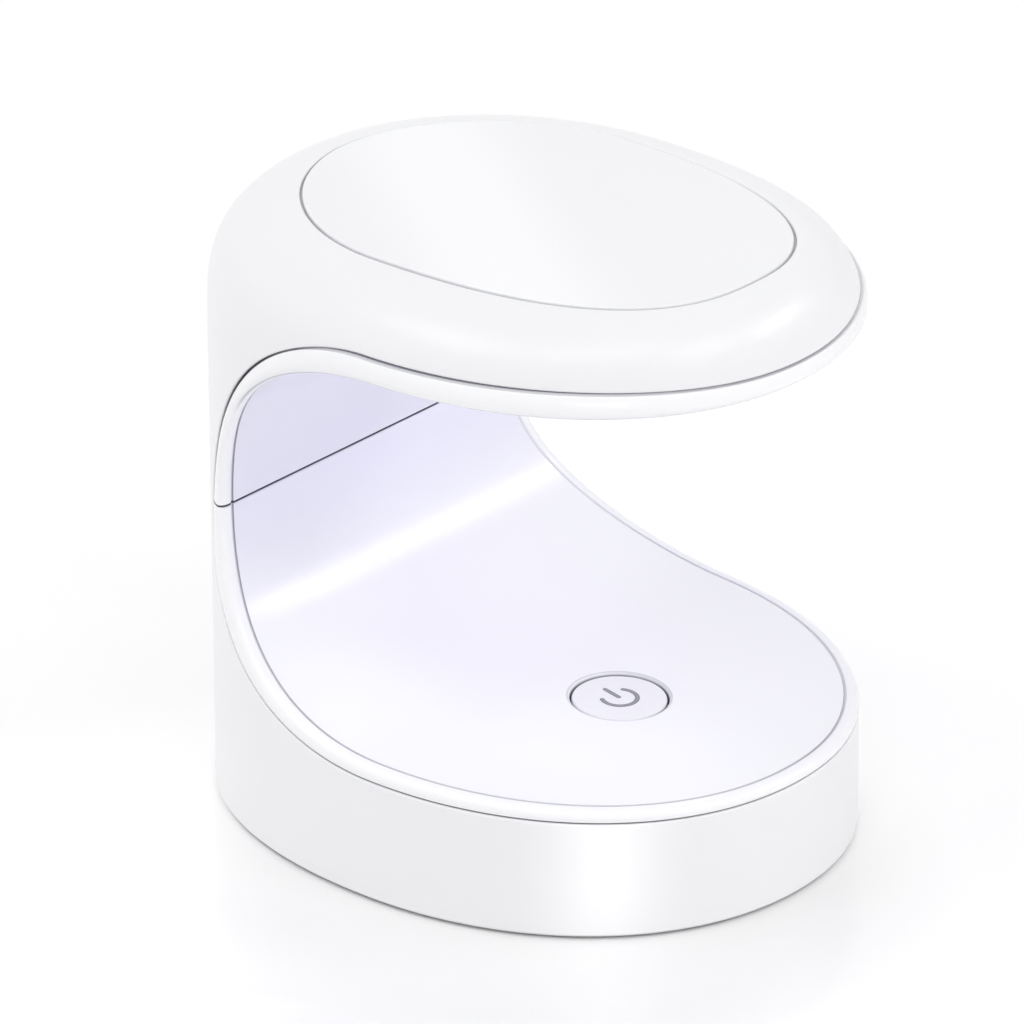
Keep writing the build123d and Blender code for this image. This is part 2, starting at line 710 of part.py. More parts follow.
def make_led_screws():
    return group([screw(SMALL_SCREW, x, y, LED_BOARD_TOP_Z, -1) for x, y in led_post_places()])


def make_top_screws():
    seat_z = RECESS_Z - WAFER_SCREW[2]
    return group([screw(WAFER_SCREW, x, y, seat_z, -1) for x, y in TOP_BOSS_PLACES])


PARTS = {
    "outer_shell": make_outer_shell,
    "top_panel": make_top_panel,
    "upper_liner": make_upper_liner,
    "lower_liner": make_lower_liner,
    "button_cap": make_button_cap,
    "switch_plunger": make_switch_plunger,
    "switch_body": make_switch_body,
    "base_plate": make_base_plate,
    "rubber_feet": make_rubber_feet,
    "base_screws": make_base_screws,
    "main_board": make_main_board,
    "board_chips": make_board_chips,
    "board_screws": make_board_screws,
    "charging_socket": make_charging_socket,
    "battery_cell": make_battery_cell,
    "battery_tape": make_battery_tape,
    "battery_header": make_battery_header,
    "battery_leads": make_battery_leads,
    "led_header": make_led_header,
    "led_harness": make_led_harness,
    "led_board": make_led_board,
    "uv_leds": make_uv_leds,
    "led_window": make_led_window,
    "led_screws": make_led_screws,
    "top_screws": make_top_screws,
}

os.makedirs("parts", exist_ok=True)
for name, make in PARTS.items():
    export_step(make(), f"parts/{name}.step")
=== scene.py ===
"""Single-finger nail lamp: smooth surfaces, finishes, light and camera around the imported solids."""
import json
import math

import bmesh
import bpy
import numpy as np
from mathutils import Matrix, Quaternion, Vector


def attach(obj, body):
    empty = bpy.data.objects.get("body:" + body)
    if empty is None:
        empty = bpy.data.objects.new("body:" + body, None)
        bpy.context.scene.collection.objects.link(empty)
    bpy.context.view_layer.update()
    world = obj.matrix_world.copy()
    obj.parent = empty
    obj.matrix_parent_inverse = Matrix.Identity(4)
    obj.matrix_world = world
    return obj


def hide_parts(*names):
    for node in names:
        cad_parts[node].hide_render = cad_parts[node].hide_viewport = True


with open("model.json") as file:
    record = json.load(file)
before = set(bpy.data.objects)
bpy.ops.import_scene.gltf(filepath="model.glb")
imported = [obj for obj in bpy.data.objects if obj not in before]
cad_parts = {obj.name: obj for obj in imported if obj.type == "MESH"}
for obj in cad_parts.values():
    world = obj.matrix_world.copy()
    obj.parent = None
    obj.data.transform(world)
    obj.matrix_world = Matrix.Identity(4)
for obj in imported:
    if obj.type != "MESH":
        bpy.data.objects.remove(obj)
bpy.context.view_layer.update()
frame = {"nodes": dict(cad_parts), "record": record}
NODES = frame["nodes"]

# Driving sizes in millimetres, as in the solids; MM turns them to metres
MM = 0.001
HALF_WIDTH, FRONT_LENGTH, REAR_LENGTH = 30.0, 34.7, 36.7
FRONT_POWER, REAR_POWER = 2.08, 2.2
WIDEST_Y = (FRONT_LENGTH - REAR_LENGTH) / 2
REAR_Y = WIDEST_Y + REAR_LENGTH
FRONT_Y = WIDEST_Y - FRONT_LENGTH
BASE_EDGE_Z, BASE_RIM, CAVITY_HEIGHT = 13.65, 1.0, 43.85
HEAD_RIM, HEAD_HEIGHT, SHOULDER_HEIGHT = 3.1, 9.05, 13.5
DECK_Z = BASE_EDGE_Z + BASE_RIM
UNDERSIDE_Z = DECK_Z + CAVITY_HEIGHT
HEAD_EDGE_Z = UNDERSIDE_Z + HEAD_RIM
CROWN_Z = UNDERSIDE_Z + HEAD_HEIGHT
SHOULDER_Z = CROWN_Z - SHOULDER_HEIGHT
WALL, LINER_WALL, ROOF_WALL = 1.8, 1.6, 1.6
DOME_INWARD_POWER, DOME_UPWARD_POWER = 1.66, 3.3
COVER_HALF_WIDTH, COVER_FRONT, COVER_REAR = 20.2, 33.3, 21.8
COVER_FRONT_POWER, COVER_REAR_POWER = 2.49, 1.9
COVER_WIDEST_Y = WIDEST_Y + 5.7
COVER_THICKNESS, COVER_CROWN, COVER_GAP, COVER_LAND = 1.4, 0.3, 0.15, 0.1
RECESS_Z = CROWN_Z - COVER_THICKNESS
ROOF_Z = RECESS_Z - ROOF_WALL
ROOF_INSET = 1.4
DECK_TILT = math.radians(1.4)
DECK_REACH_Y, DECK_POWER = -3.0, 2.15
UNDERSIDE_REACH_Y, UNDERSIDE_POWER = -4.0, 2.0
SPINE_TIP = (REAR_Y - 12.9, 35.5)
EDGE_REACH_Y, EDGE_POWER, EDGE_TIP_POWER = -2.5, 2.0, 1.75
EDGE_TIP = (REAR_Y - 9.5, 31.5)
RIM_INSET, RIM_WIDTH, RIM_ROUND, RIM_LINE_INSET, RIM_LINE_WIDTH = 0.15, 2.6, 0.8, 1.5, 0.3
BUTTON_Y, WELL_RADIUS, WELL_BEVEL, BUTTON_RECESS = -11.45, 5.25, 0.4, 0.2
BUTTON_Z = DECK_Z + (BUTTON_Y - FRONT_Y) * math.tan(DECK_TILT)
WINDOW_HALF_WIDTH, WINDOW_HALF_LENGTH, WINDOW_CORNER, LAMP_Y = 13.0, 11.0, 8.0, -8.5

# Lines that run a little apart from the solids' for the eye: lifts in millimetres, and the rise of each side
# curve as its slope before the reach, its slope behind the reach and its droop at the front
BOTTOM_Z, SEAM_Z, SEAM_GAP = 0.25, 35.0, 0.17
UNDERSIDE_LIFT, BASE_EDGE_LIFT = 0.45, 0.19
DECK_RISE, UNDERSIDE_RISE = (0.0354, 0.0354, 0.0), (0.012, 0.012, 0.0)
BASE_EDGE_RISE, HEAD_EDGE_RISE = (0.024, 0.024, 0.0), (0.0, 0.025, 0.8)
DROOP_LENGTH = 33.2


# Outlines and side curves, worked out as whole arrays

def egg(angle, half_width, front, rear, front_power, rear_power, widest_y):
    """Half a superellipse before the widest line and half another behind it: |x/a|^n + |y/b|^n = 1."""
    cosine, sine = np.cos(angle), np.sin(angle)
    length = np.where(sine < 0, front, rear)
    power = np.where(sine < 0, front_power, rear_power)
    x = half_width * np.sign(cosine) * np.abs(cosine) ** (2 / power)
    y = widest_y + length * np.sign(sine) * np.abs(sine) ** (2 / power)
    return x, y


def plan(angle, inset=0.0):
    """Casing's outline moved in by inset."""
    return egg(angle, HALF_WIDTH - inset, FRONT_LENGTH - inset, REAR_LENGTH - inset,
               FRONT_POWER, REAR_POWER, WIDEST_Y)


def cover_plan(angle, inset):
    """Cover's outline moved in by inset."""
    return egg(angle, COVER_HALF_WIDTH - inset, COVER_FRONT - inset, COVER_REAR - inset,
               COVER_FRONT_POWER, COVER_REAR_POWER, COVER_WIDEST_Y)


def plan_x(y, inset):
    """Half the casing's width at y, with the outline moved in by inset."""
    length = np.where(y < WIDEST_Y, FRONT_LENGTH, REAR_LENGTH) - inset
    power = np.where(y < WIDEST_Y, FRONT_POWER, REAR_POWER)
    share = np.clip(np.abs(y - WIDEST_Y) / length, 0, 1)
    return (HALF_WIDTH - inset) * (1 - share ** power) ** (1 / power)


def level_at(reach, rise, y):
    """Height of an arm at y: one slope before the reach, another behind it, and a droop towards the front
    that grows with the sixth power of the distance."""
    before, behind, droop = rise
    back = y - reach[0]
    slope = np.where(back < 0, before, behind)
    return reach[1] + slope * back - droop * np.clip(-back / DROOP_LENGTH, 0, 1) ** 6


def quarter(reach, tip, power, tip_power, rise, angle):
    """Points y and z of a quarter superellipse: angle 0 is the arm, whose level may slope, and a right angle
    is the spine's tip."""
    y = reach[0] + (tip[0] - reach[0]) * np.sin(angle) ** (2 / power)
    share = np.abs(np.cos(angle)) ** (2 / tip_power)
    return np.stack([y, tip[1] + (level_at(reach, rise, y) - tip[1]) * share], -1)


def quarter_height(reach, tip, power, tip_power, rise, y):
    """The same curve's height at y, and the arm's own before the reach."""
    share = np.clip((y - reach[0]) / (tip[0] - reach[0]), 0, 1)
    return tip[1] + (level_at(reach, rise, y) - tip[1]) * (1 - share ** power) ** (1 / tip_power)


def smooth_step(value, start, full):
    """0 up to start and 1 from full on, with 3 s^2 - 2 s^3 between them."""
    share = np.clip((value - start) / (full - start), 0, 1)
    return share * share * (3 - 2 * share)


def deck_curve():
    """Face of the deck and the lower spine: reach, tip, powers and rise, as quarter() takes them."""
    reach = (DECK_REACH_Y, BUTTON_Z + (DECK_REACH_Y - BUTTON_Y) * DECK_RISE[0])
    return reach, SPINE_TIP, DECK_POWER, DECK_POWER, DECK_RISE


def underside_curve():
    """Underside of the head and face of the upper spine."""
    reach = (UNDERSIDE_REACH_Y, UNDERSIDE_Z + UNDERSIDE_LIFT)
    return reach, SPINE_TIP, UNDERSIDE_POWER, UNDERSIDE_POWER, UNDERSIDE_RISE


def base_edge_curve(out=0.0):
    """Casing's edge round the base, moved away from the mouth by out."""
    reach = (EDGE_REACH_Y, BASE_EDGE_Z + BASE_EDGE_LIFT - out)
    return reach, (EDGE_TIP[0] + out, EDGE_TIP[1]), EDGE_POWER, EDGE_POWER, BASE_EDGE_RISE


def head_edge_curve(out=0.0):
    """Casing's edge round the head, moved away from the mouth by out."""
    reach = (EDGE_REACH_Y, HEAD_EDGE_Z + out)
    return reach, (EDGE_TIP[0] + out, EDGE_TIP[1]), EDGE_POWER, EDGE_TIP_POWER, HEAD_EDGE_RISE


# Meshes

# Distance in millimetres at which points merge, and angle in degrees above which an edge is kept crisp
MERGE, SHARP = 0.004, 35.0
ROLL_STEPS = np.linspace(0, math.pi / 2, 7)
HALVINGS = 45


def grid_faces(columns, rows, first):
    """Quads between neighbouring points of a grid whose points are numbered column by column."""
    corner = first + (np.arange(columns - 1)[:, None] * rows + np.arange(rows - 1)).ravel()
    return np.stack([corner, corner + 1, corner + rows + 1, corner + rows], 1)


def piece_from(name, grids, loops=(), mirrored=True):
    """One closed mesh from grids of points in millimetres, with their mirror images across x = 0 if asked.
    Points that meet are merged and faces turned outwards. A grid's points may carry two more numbers, kept as
    the attribute zones: how far a point is on the lining's inner face, where a painted violet glow and
    painted shade come in, and how deep it is in a gap, where painted shade comes in, or, on the printed sign,
    how near it is to the ink's darker edge."""
    points, faces, first = [], [], 0
    for grid in grids:
        columns, rows = grid.shape[:2]
        points.append(with_zones(grid).reshape(-1, 5))
        faces += grid_faces(columns, rows, first).tolist()
        first += columns * rows
    for loop in loops:
        points.append(with_zones(loop))
        faces.append(list(range(first, first + len(loop))))
        first += len(loop)
    points = np.concatenate(points)
    if mirrored:
        points = np.concatenate([points, points * (-1, 1, 1, 1, 1)])
        faces = faces + [[corner + first for corner in face[::-1]] for face in faces]
    mesh = bpy.data.meshes.new(name)
    mesh.from_pydata((points[:, :3] * MM).tolist(), [], faces)
    zones = mesh.attributes.new("zones", "FLOAT_VECTOR", "POINT")
    zones.data.foreach_set("vector", np.pad(points[:, 3:], ((0, 0), (0, 1))).astype(np.float32).ravel())
    work = bmesh.new()
    work.from_mesh(mesh)
    bmesh.ops.remove_doubles(work, verts=work.verts, dist=MERGE * MM)
    bmesh.ops.dissolve_degenerate(work, edges=work.edges, dist=MERGE * MM / 2)
    bmesh.ops.recalc_face_normals(work, faces=work.faces)
    work.to_mesh(mesh)
    work.free()
    mesh.polygons.foreach_set("use_smooth", np.ones(len(mesh.polygons), bool))
    mesh.set_sharp_from_angle(angle=math.radians(SHARP))
    piece = bpy.data.objects.new(name, mesh)
    bpy.context.collection.objects.link(piece)
    return piece


def cut_out(piece, cutter):
    """Takes the cutter's volume out of a piece's mesh, and removes the cutter."""
    difference = piece.modifiers.new("cut", "BOOLEAN")
    difference.object, difference.operation, difference.solver = cutter, "DIFFERENCE", "EXACT"
    whole = bpy.context.evaluated_depsgraph_get()
    mesh = bpy.data.meshes.new_from_object(piece.evaluated_get(whole))
    piece.modifiers.clear()
    piece.data = mesh
    mesh.set_sharp_from_angle(angle=math.radians(SHARP))
    bpy.data.objects.remove(cutter)


def points_of(x, y, z):
    """Points from coordinates that spread over each other."""
    return np.stack(np.broadcast_arrays(x, y, z), -1).astype(float)


def with_zones(points, inner=0.0, gap=0.0):
    """Points with their two zone numbers, unless they have them already."""
    if points.shape[-1] == 5:
        return points
    zones = [np.broadcast_to(zone, points.shape[:-1])[..., None] for zone in (inner, gap)]
    return np.concatenate([points, *zones], -1)


def joined(*rows):
    """Sets of rows side by side as one grid, with their zones."""
    return np.concatenate([with_zones(row) for row in rows], 1)


def cover_ring(angle, inset, z):
    """Row of points on the cover's outline."""
    x, y = cover_plan(angle, inset)
    return points_of(x, y, z)[:, None]


def plan_ring(angle, inset, z):
    """Row of points on the casing's outline."""
    x, y = plan(angle, inset)
    return points_of(x, y, z)[:, None]


def centre_row(angle, z):
    """Row of points that all lie in the middle of the cover."""
    return points_of(np.zeros_like(angle), COVER_WIDEST_Y, z)[:, None]


# Casing

EDGE_ROLL, FOOT_CHAMFER, LEDGE_Z, LEDGE_INSET = 0.22, 0.3, 1.5, 0.9
# Depths in the wall between which the opening's edge has painted shade, as dark as the bottom of a gap
DARK_FROM, DARK_TO = 2 * EDGE_ROLL, WALL - 0.1
SLOT_WIDTH, SLOT_HEIGHT, SLOT_Z, SLOT_ROUND = 9.5, 3.72, 10.08, 0.25
FRONT_COLUMNS, SIDE_COLUMNS, REAR_COLUMNS = 49, 97, 41
OUTER_ROWS, INNER_ROWS, BASE_ROWS, SLOT_STEPS = 73, 25, 13, 33
HEIGHT_ROUNDS = 6


def meridian(angle, way, depth):
    """Point on the casing: way -1 to 0 climbs the wall from the spine's tip to the shoulder, 0 to 1 the dome
    to the cover. Going in, the wall shrinks evenly and the top sinks, as the moulding is thinner there."""
    share = depth / WALL
    climb = np.clip(way, 0, 1) * math.pi / 2
    inward = 1 - np.cos(climb) ** (2 / DOME_INWARD_POWER)
    top = CROWN_Z - (CROWN_Z - ROOF_Z) * share
    dome_z = SHOULDER_Z + (top - SHOULDER_Z) * np.sin(climb) ** (2 / DOME_UPWARD_POWER)
    z = np.where(way < 0, SHOULDER_Z + way * (SHOULDER_Z - EDGE_TIP[1]), dome_z)
    wall_x, wall_y = plan(angle, depth)
    top_x, top_y = cover_plan(angle, -COVER_GAP - COVER_LAND + (ROOF_INSET + COVER_GAP + COVER_LAND) * share)
    return points_of(wall_x + (top_x - wall_x) * inward, wall_y + (top_y - wall_y) * inward, z)


def way_at(z, depth):
    """Place on the meridian at a height."""
    top = CROWN_Z - (CROWN_Z - ROOF_Z) * depth / WALL
    rise = np.clip((z - SHOULDER_Z) / (top - SHOULDER_Z), 0, 1)
    climb = np.arcsin(rise ** (DOME_UPWARD_POWER / 2)) / (math.pi / 2)
    return np.where(z < SHOULDER_Z, (z - SHOULDER_Z) / (SHOULDER_Z - EDGE_TIP[1]), climb)


def angle_at(y, way, depth):
    """Angle whose meridian passes y at that place, found by halving."""
    low = np.full_like(y, -math.pi / 2)
    high = np.full_like(y, math.pi / 2)
    for _ in range(HALVINGS):
        middle = (low + high) / 2
        short = meridian(middle, way, depth)[..., 1] < y
        low, high = np.where(short, middle, low), np.where(short, high, middle)
    return (low + high) / 2


def edge_stations(curve, out, depth):
    """Right half of the opening's edge, grown by out and moved in by depth: angle and height, from the middle
    of the front to the spine's tip. The front's height and place settle within a few rounds."""
    reach = curve(out)[0]
    corner = angle_at(np.array([reach[0]]), way_at(np.array([reach[1]]), depth), depth)[0]
    front = np.linspace(-math.pi / 2, corner, FRONT_COLUMNS)
    height = np.full(FRONT_COLUMNS, reach[1])
    for _ in range(HEIGHT_ROUNDS):
        height = quarter_height(*curve(out), meridian_at_height(front, height, depth)[:, 1])
    side = quarter(*curve(out), np.linspace(0, math.pi / 2, SIDE_COLUMNS))[1:]
    side_angle = angle_at(side[:, 0], way_at(side[:, 1], depth), depth)
    return np.r_[front, side_angle], np.r_[height, side[:, 1]]


def edge_roll(curve):
    """Rounded edge of the opening, from the outside round to the wall's thickness, with painted shade on its
    inner part.
    """
    rows = []
    for turn in ROLL_STEPS:
        depth = EDGE_ROLL * (1 - math.cos(turn))
        angle, z = edge_stations(curve, EDGE_ROLL * (1 - math.sin(turn)), depth)
        rows.append(with_zones(meridian_at_height(angle, z, depth)))
    # Painted shade inside the opening's edge
    for depth in (DARK_FROM, DARK_TO):
        angle, z = edge_stations(curve, 0.0, depth)
        rows.append(with_zones(meridian_at_height(angle, z, depth), gap=1.0))
    return np.stack(rows, 1)


def meridian_at_height(angle, z, depth):
    """Point on the casing at an angle and a height, below the spine's tip too, where the wall is straight."""
    point = meridian(angle, way_at(np.maximum(z, EDGE_TIP[1]), depth), depth)
    point[..., 2] = z
    return point


def dome_rows(angle, z, depth, rows):
    """Columns from the cover's recess down to a height, at constant angle."""
    start = way_at(np.maximum(z, EDGE_TIP[1]), depth)
    share = np.linspace(0, 1, rows)
    way = 1 + (start[:, None] - 1) * share
    return meridian(angle[:, None], way, depth)


def head_columns(outer, inner, z_outer, z_inner, edge):
    """Head's section, column by column: recess, pocket wall, dome, wall, edge, and the inside to the roof."""
    return joined(
        centre_row(outer, RECESS_Z), cover_ring(outer, -COVER_GAP, RECESS_Z),
        cover_ring(outer, -COVER_GAP, CROWN_Z - COVER_LAND), dome_rows(outer, z_outer, 0.0, OUTER_ROWS),
        edge, dome_rows(inner, z_inner, WALL, INNER_ROWS)[:, ::-1], centre_row(inner, ROOF_Z))


def base_columns(outer, inner, z_outer, z_inner, edge):
    """Base's section, column by column: ledge, chamfer, wall, edge, and the inside down to the ledge."""
    share = np.linspace(0, 1, BASE_ROWS)
    height = BOTTOM_Z + FOOT_CHAMFER + (z_outer[:, None] - BOTTOM_Z - FOOT_CHAMFER) * share
    x, y = plan(outer)
    wall = points_of(x[:, None], y[:, None], height)
    return joined(
        plan_ring(inner, WALL, LEDGE_Z), plan_ring(inner, LEDGE_INSET, LEDGE_Z),
        plan_ring(inner, LEDGE_INSET, BOTTOM_Z), plan_ring(outer, FOOT_CHAMFER, BOTTOM_Z), wall,
        edge, plan_ring(inner, WALL, z_inner), plan_ring(inner, WALL, LEDGE_Z))


def make_outer_shell():
    """Casing: the head, the base wall and the spine's rear wall share their points where they meet."""
    grids = []
    for curve, columns in ((head_edge_curve, head_columns), (base_edge_curve, base_columns)):
        outer, z_outer = edge_stations(curve, EDGE_ROLL, 0.0)
        inner, z_inner = edge_stations(curve, 0.0, WALL)
        grids.append(columns(outer, inner, z_outer, z_inner, edge_roll(curve)))
    # The rear wall goes on from the base edge's last station, which the loop leaves
    turn = np.linspace(0, 1, REAR_COLUMNS)
    outer = outer[-1] + (math.pi / 2 - outer[-1]) * turn
    inner = inner[-1] + (math.pi / 2 - inner[-1]) * turn
    level = np.full(REAR_COLUMNS, EDGE_TIP[1])
    head = head_columns(outer, inner, level, level, np.zeros((REAR_COLUMNS, 0, 5)))
    base = base_columns(outer, inner, level, level, np.zeros((REAR_COLUMNS, 0, 5)))
    # Outside rows: the recess's three before the dome's, and the foot's four before the wall's
    head_outside, base_outside = 3 + OUTER_ROWS, 4 + BASE_ROWS
    grids += [head[:, :head_outside], head[:, head_outside:], base[:, :base_outside], base[:, base_outside:]]
    return piece_from("casing", grids)


def make_slot_cutter():
    """Slot for the charging socket: a stadium carried inwards from the rear wall, wider by r (1 - sin t) at a
    depth of r (1 - cos t), which rounds its outer edge."""
    end = np.linspace(-math.pi / 2, math.pi / 2, SLOT_STEPS)
    turn = np.r_[end, end + math.pi, end[0]]
    straight = np.r_[np.ones(SLOT_STEPS), -np.ones(SLOT_STEPS), 1] * (SLOT_WIDTH - SLOT_HEIGHT) / 2

    def ring(wider, depth):
        x = straight + (SLOT_HEIGHT / 2 + wider) * np.cos(turn)
        wall_y = WIDEST_Y + REAR_LENGTH * (1 - np.abs(x / HALF_WIDTH) ** REAR_POWER) ** (1 / REAR_POWER)
        return points_of(x, wall_y - depth, SLOT_Z + (SLOT_HEIGHT / 2 + wider) * np.sin(turn))[:, None]

    rows = [ring(SLOT_ROUND, -WALL)]
    for turned in ROLL_STEPS[1:]:
        rows.append(ring(SLOT_ROUND * (1 - math.sin(turned)), SLOT_ROUND * (1 - math.cos(turned))))
    rows.append(ring(0.0, 2 * WALL))
    caps = [ring(SLOT_ROUND, -WALL)[:-1, 0], ring(0.0, 2 * WALL)[:-1, 0]]
    return piece_from("slot_cutter", [joined(*rows)], caps, mirrored=False)


# Cover in the top of the head

COVER_EDGE, FLANGE_DROP, FLANGE_SPACE, COVER_RINGS = 0.18, 0.45, 0.02, 25
# Painted shade on the flange down in the groove, as a share of the shade at the bottom of a gap
COVER_GAP_SHADE = 0.48


def make_cover():
    """Low crown over the cover's outline, with a rounded edge and a flange that closes the groove round it:
    the crown sinks by r^2 / 2R with the distance r from its middle. The flange has painted shade."""
    angle = np.linspace(-math.pi / 2, math.pi / 2, 2 * SIDE_COLUMNS)
    middle_y = COVER_WIDEST_Y + (COVER_REAR - COVER_FRONT) / 2
    crown_radius = COVER_FRONT ** 2 / (2 * COVER_CROWN)
    edge_x, edge_y = cover_plan(angle, COVER_GAP + COVER_EDGE)
    share = np.linspace(0, 1, COVER_RINGS)
    x = edge_x[:, None] * share
    y = COVER_WIDEST_Y + (edge_y[:, None] - COVER_WIDEST_Y) * share
    z = CROWN_Z + COVER_CROWN - (x ** 2 + (y - middle_y) ** 2) / (2 * crown_radius)
    rows = [points_of(x, y, z)]
    for turn in ROLL_STEPS[1:]:
        inset = COVER_GAP + COVER_EDGE * (1 - math.sin(turn))
        rows.append(cover_ring(angle, inset, z[:, -1] - COVER_EDGE * (1 - math.cos(turn))))
    flange_z, flange_inset = CROWN_Z - FLANGE_DROP, FLANGE_SPACE - COVER_GAP
    # Painted shade on the flange, down in the groove
    for inset, height in ((COVER_GAP, flange_z), (flange_inset, flange_z), (flange_inset, RECESS_Z)):
        rows.append(with_zones(cover_ring(angle, inset, height), gap=COVER_GAP_SHADE))
    return piece_from("cover", [joined(*rows, centre_row(angle, RECESS_Z))])


# Linings

# Rim: how much its side face bulges, its fine line's section, how far the bead stands above the lining, the
# rounding of its lower corner, and the step back under it
RIM_BULGE, ROUND_LIMIT, STEP_INSET = 0.35, 0.75, 0.8
LINE_ROUND, LINE_SINK, LINE_TAPER, LINE_DEPTH = 0.04, 0.05, 0.03, 0.22
BEAD_LEAN, BEAD_RISE, BEAD_CREST = 0.06, 0.03, 0.05
LIP_ROUND, LIP_TURN, LIP_END = 0.1, 0.03, 0.25
FLAT_INSET = RIM_LINE_INSET + RIM_LINE_WIDTH / 2 + LINE_ROUND
# Shadow gap between the rim and the casing: its width, and where and how far it opens out behind the head
GAP_THIN, GAP_ROUND_BASE = 0.095, 0.055
GAP_OPENING, GAP_OPENING_Y, GAP_OPENING_SPREAD = 0.22, 17.0, 9.0
# Painted shade, as a share of the shade at the bottom of a gap: on the fine line's two walls, the inner wall
# darker than the outer, and on the bead's lower half under the head
LINE_SHADE, LINE_FAR_SHADE = 0.6, 0.1
UNDER_START_Z, UNDER_FULL_Z, UNDER_SHADE, UNDER_TURNS = 47.0, 51.0, 0.5, (0.45, 0.95)
# Painted shade, the same way, round a hole in an arm, row by row from the back of the bore to its bevel, with
# a painted grey ring on the bevel's outer rows
BORE_SHADES = (1.0, 0.8, 0.5, 0.25, 0.15, 0.3, 0.4)
# Heights between which the inner face's painted violet glow and painted shade of the lamp come in, up the
# spine
PAINTED_GLOW_START_Z, PAINTED_GLOW_FULL_Z = 20.0, 34.0
WINDOW_BEVEL, HEAD_CHORD_Y, SEAM_EDGE, SEAM_TURN = 0.2, 6.0, 0.15, 0.4
CHORD_COLUMNS, BEYOND_COLUMNS, SPINE_COLUMNS, ARM_ROWS, FINE_POINTS = 33, 9, 81, 41, 4001
BACK_EVERY = 4


def rim_profile(side, length, y, z):
    """Rim's section, point by point: inset from the wall, depth behind the lining's face and the two zones.
    It is the fine line, the rounded bead, the bulging side face that runs down to the casing's edge, and the
    step back under it. Length is the side face's, at the places y and z of the lining's face. The shadow gap
    at its end is a hairline, wider round the base, that opens out behind the head as a bell curve of y;
    painted shade in it grows with its width. The fine line's walls have painted shade, and under the head the
    bead's lower half has painted shade too."""
    opening = GAP_OPENING * np.exp(-((y - GAP_OPENING_Y) / GAP_OPENING_SPREAD) ** 2)
    gap = GAP_THIN + np.where(side < 0, opening, GAP_ROUND_BASE)
    under = (side < 0) * smooth_step(z, UNDER_START_Z, UNDER_FULL_Z)
    line_in, line_out = RIM_LINE_INSET + RIM_LINE_WIDTH / 2, RIM_LINE_INSET - RIM_LINE_WIDTH / 2
    bead_start = line_out - BEAD_LEAN
    flat = np.zeros_like(length)
    roll = np.minimum(RIM_ROUND, ROUND_LIMIT * length)
    # The fine line's walls carry painted shade: LINE_SHADE on the inner wall, LINE_FAR_SHADE on the outer
    profile = [(FLAT_INSET, flat, 1, 0),
               (line_in, flat + LINE_SINK, 1, LINE_SHADE / 2),
               (line_in - LINE_TAPER, flat + LINE_DEPTH, 1, LINE_SHADE),
               (line_out + LINE_TAPER, flat + LINE_DEPTH, 0, LINE_FAR_SHADE),
               (line_out, flat + BEAD_RISE, 0, 0),
               (bead_start, flat - BEAD_RISE, 0, 0),
               ((bead_start + RIM_INSET + RIM_ROUND) / 2, flat - BEAD_CREST, 0, 0)]
    end = length - gap
    bulge = RIM_BULGE * length / HEAD_RIM

    def side_face(inset, depth, shade=0):
        return inset - bulge * np.clip(1 - (depth / end * 2 - 1) ** 2, 0, 1), depth, 0, shade

    # Under the head, painted shade on the bead's lower half
    for turn in np.linspace(0, math.pi / 2, 9):
        inset = RIM_INSET + RIM_ROUND * (1 - math.sin(turn))
        shade = under * UNDER_SHADE * (UNDER_TURNS[0] < turn < UNDER_TURNS[1])
        depth = roll * (1 - math.cos(turn)) - BEAD_RISE * math.cos(turn)
        profile.append(side_face(inset, depth, shade))
    for share in (0.2, 0.4, 0.6, 0.8):
        profile.append(side_face(RIM_INSET, roll + (end - LIP_ROUND - roll) * share))
    profile += [side_face(RIM_INSET, end - LIP_ROUND), side_face(RIM_INSET + LIP_TURN, end - LIP_TURN),
                (RIM_INSET + LIP_ROUND, end, 0, 0)]
    # Painted shade in the shadow gap and on the step back under the rim
    shade = np.clip(gap / (GAP_THIN + GAP_OPENING), 0, 1)
    return profile + [(RIM_INSET + LIP_END, end, 0, shade), (STEP_INSET, end, 0, shade),
                      (STEP_INSET, length, 0, 1), (RIM_WIDTH, length, 0, 1),
                      (RIM_WIDTH, flat + LINER_WALL, 0, 0)]


def hole_edge(angle, half_x, half_y, corner, centre_y):
    """Rounded rectangle's edge seen from its centre at an angle, found by halving."""
    low, high = np.zeros_like(angle), np.full_like(angle, half_x + half_y)
    for _ in range(HALVINGS):
        middle = (low + high) / 2
        out_x = np.maximum(np.abs(middle * np.cos(angle)) - half_x + corner, 0)
        out_y = np.maximum(np.abs(middle * np.sin(angle)) - half_y + corner, 0)
        within = np.hypot(out_x, out_y) < corner
        low, high = np.where(within, middle, low), np.where(within, high, middle)
    return low * np.cos(angle), centre_y + low * np.sin(angle)


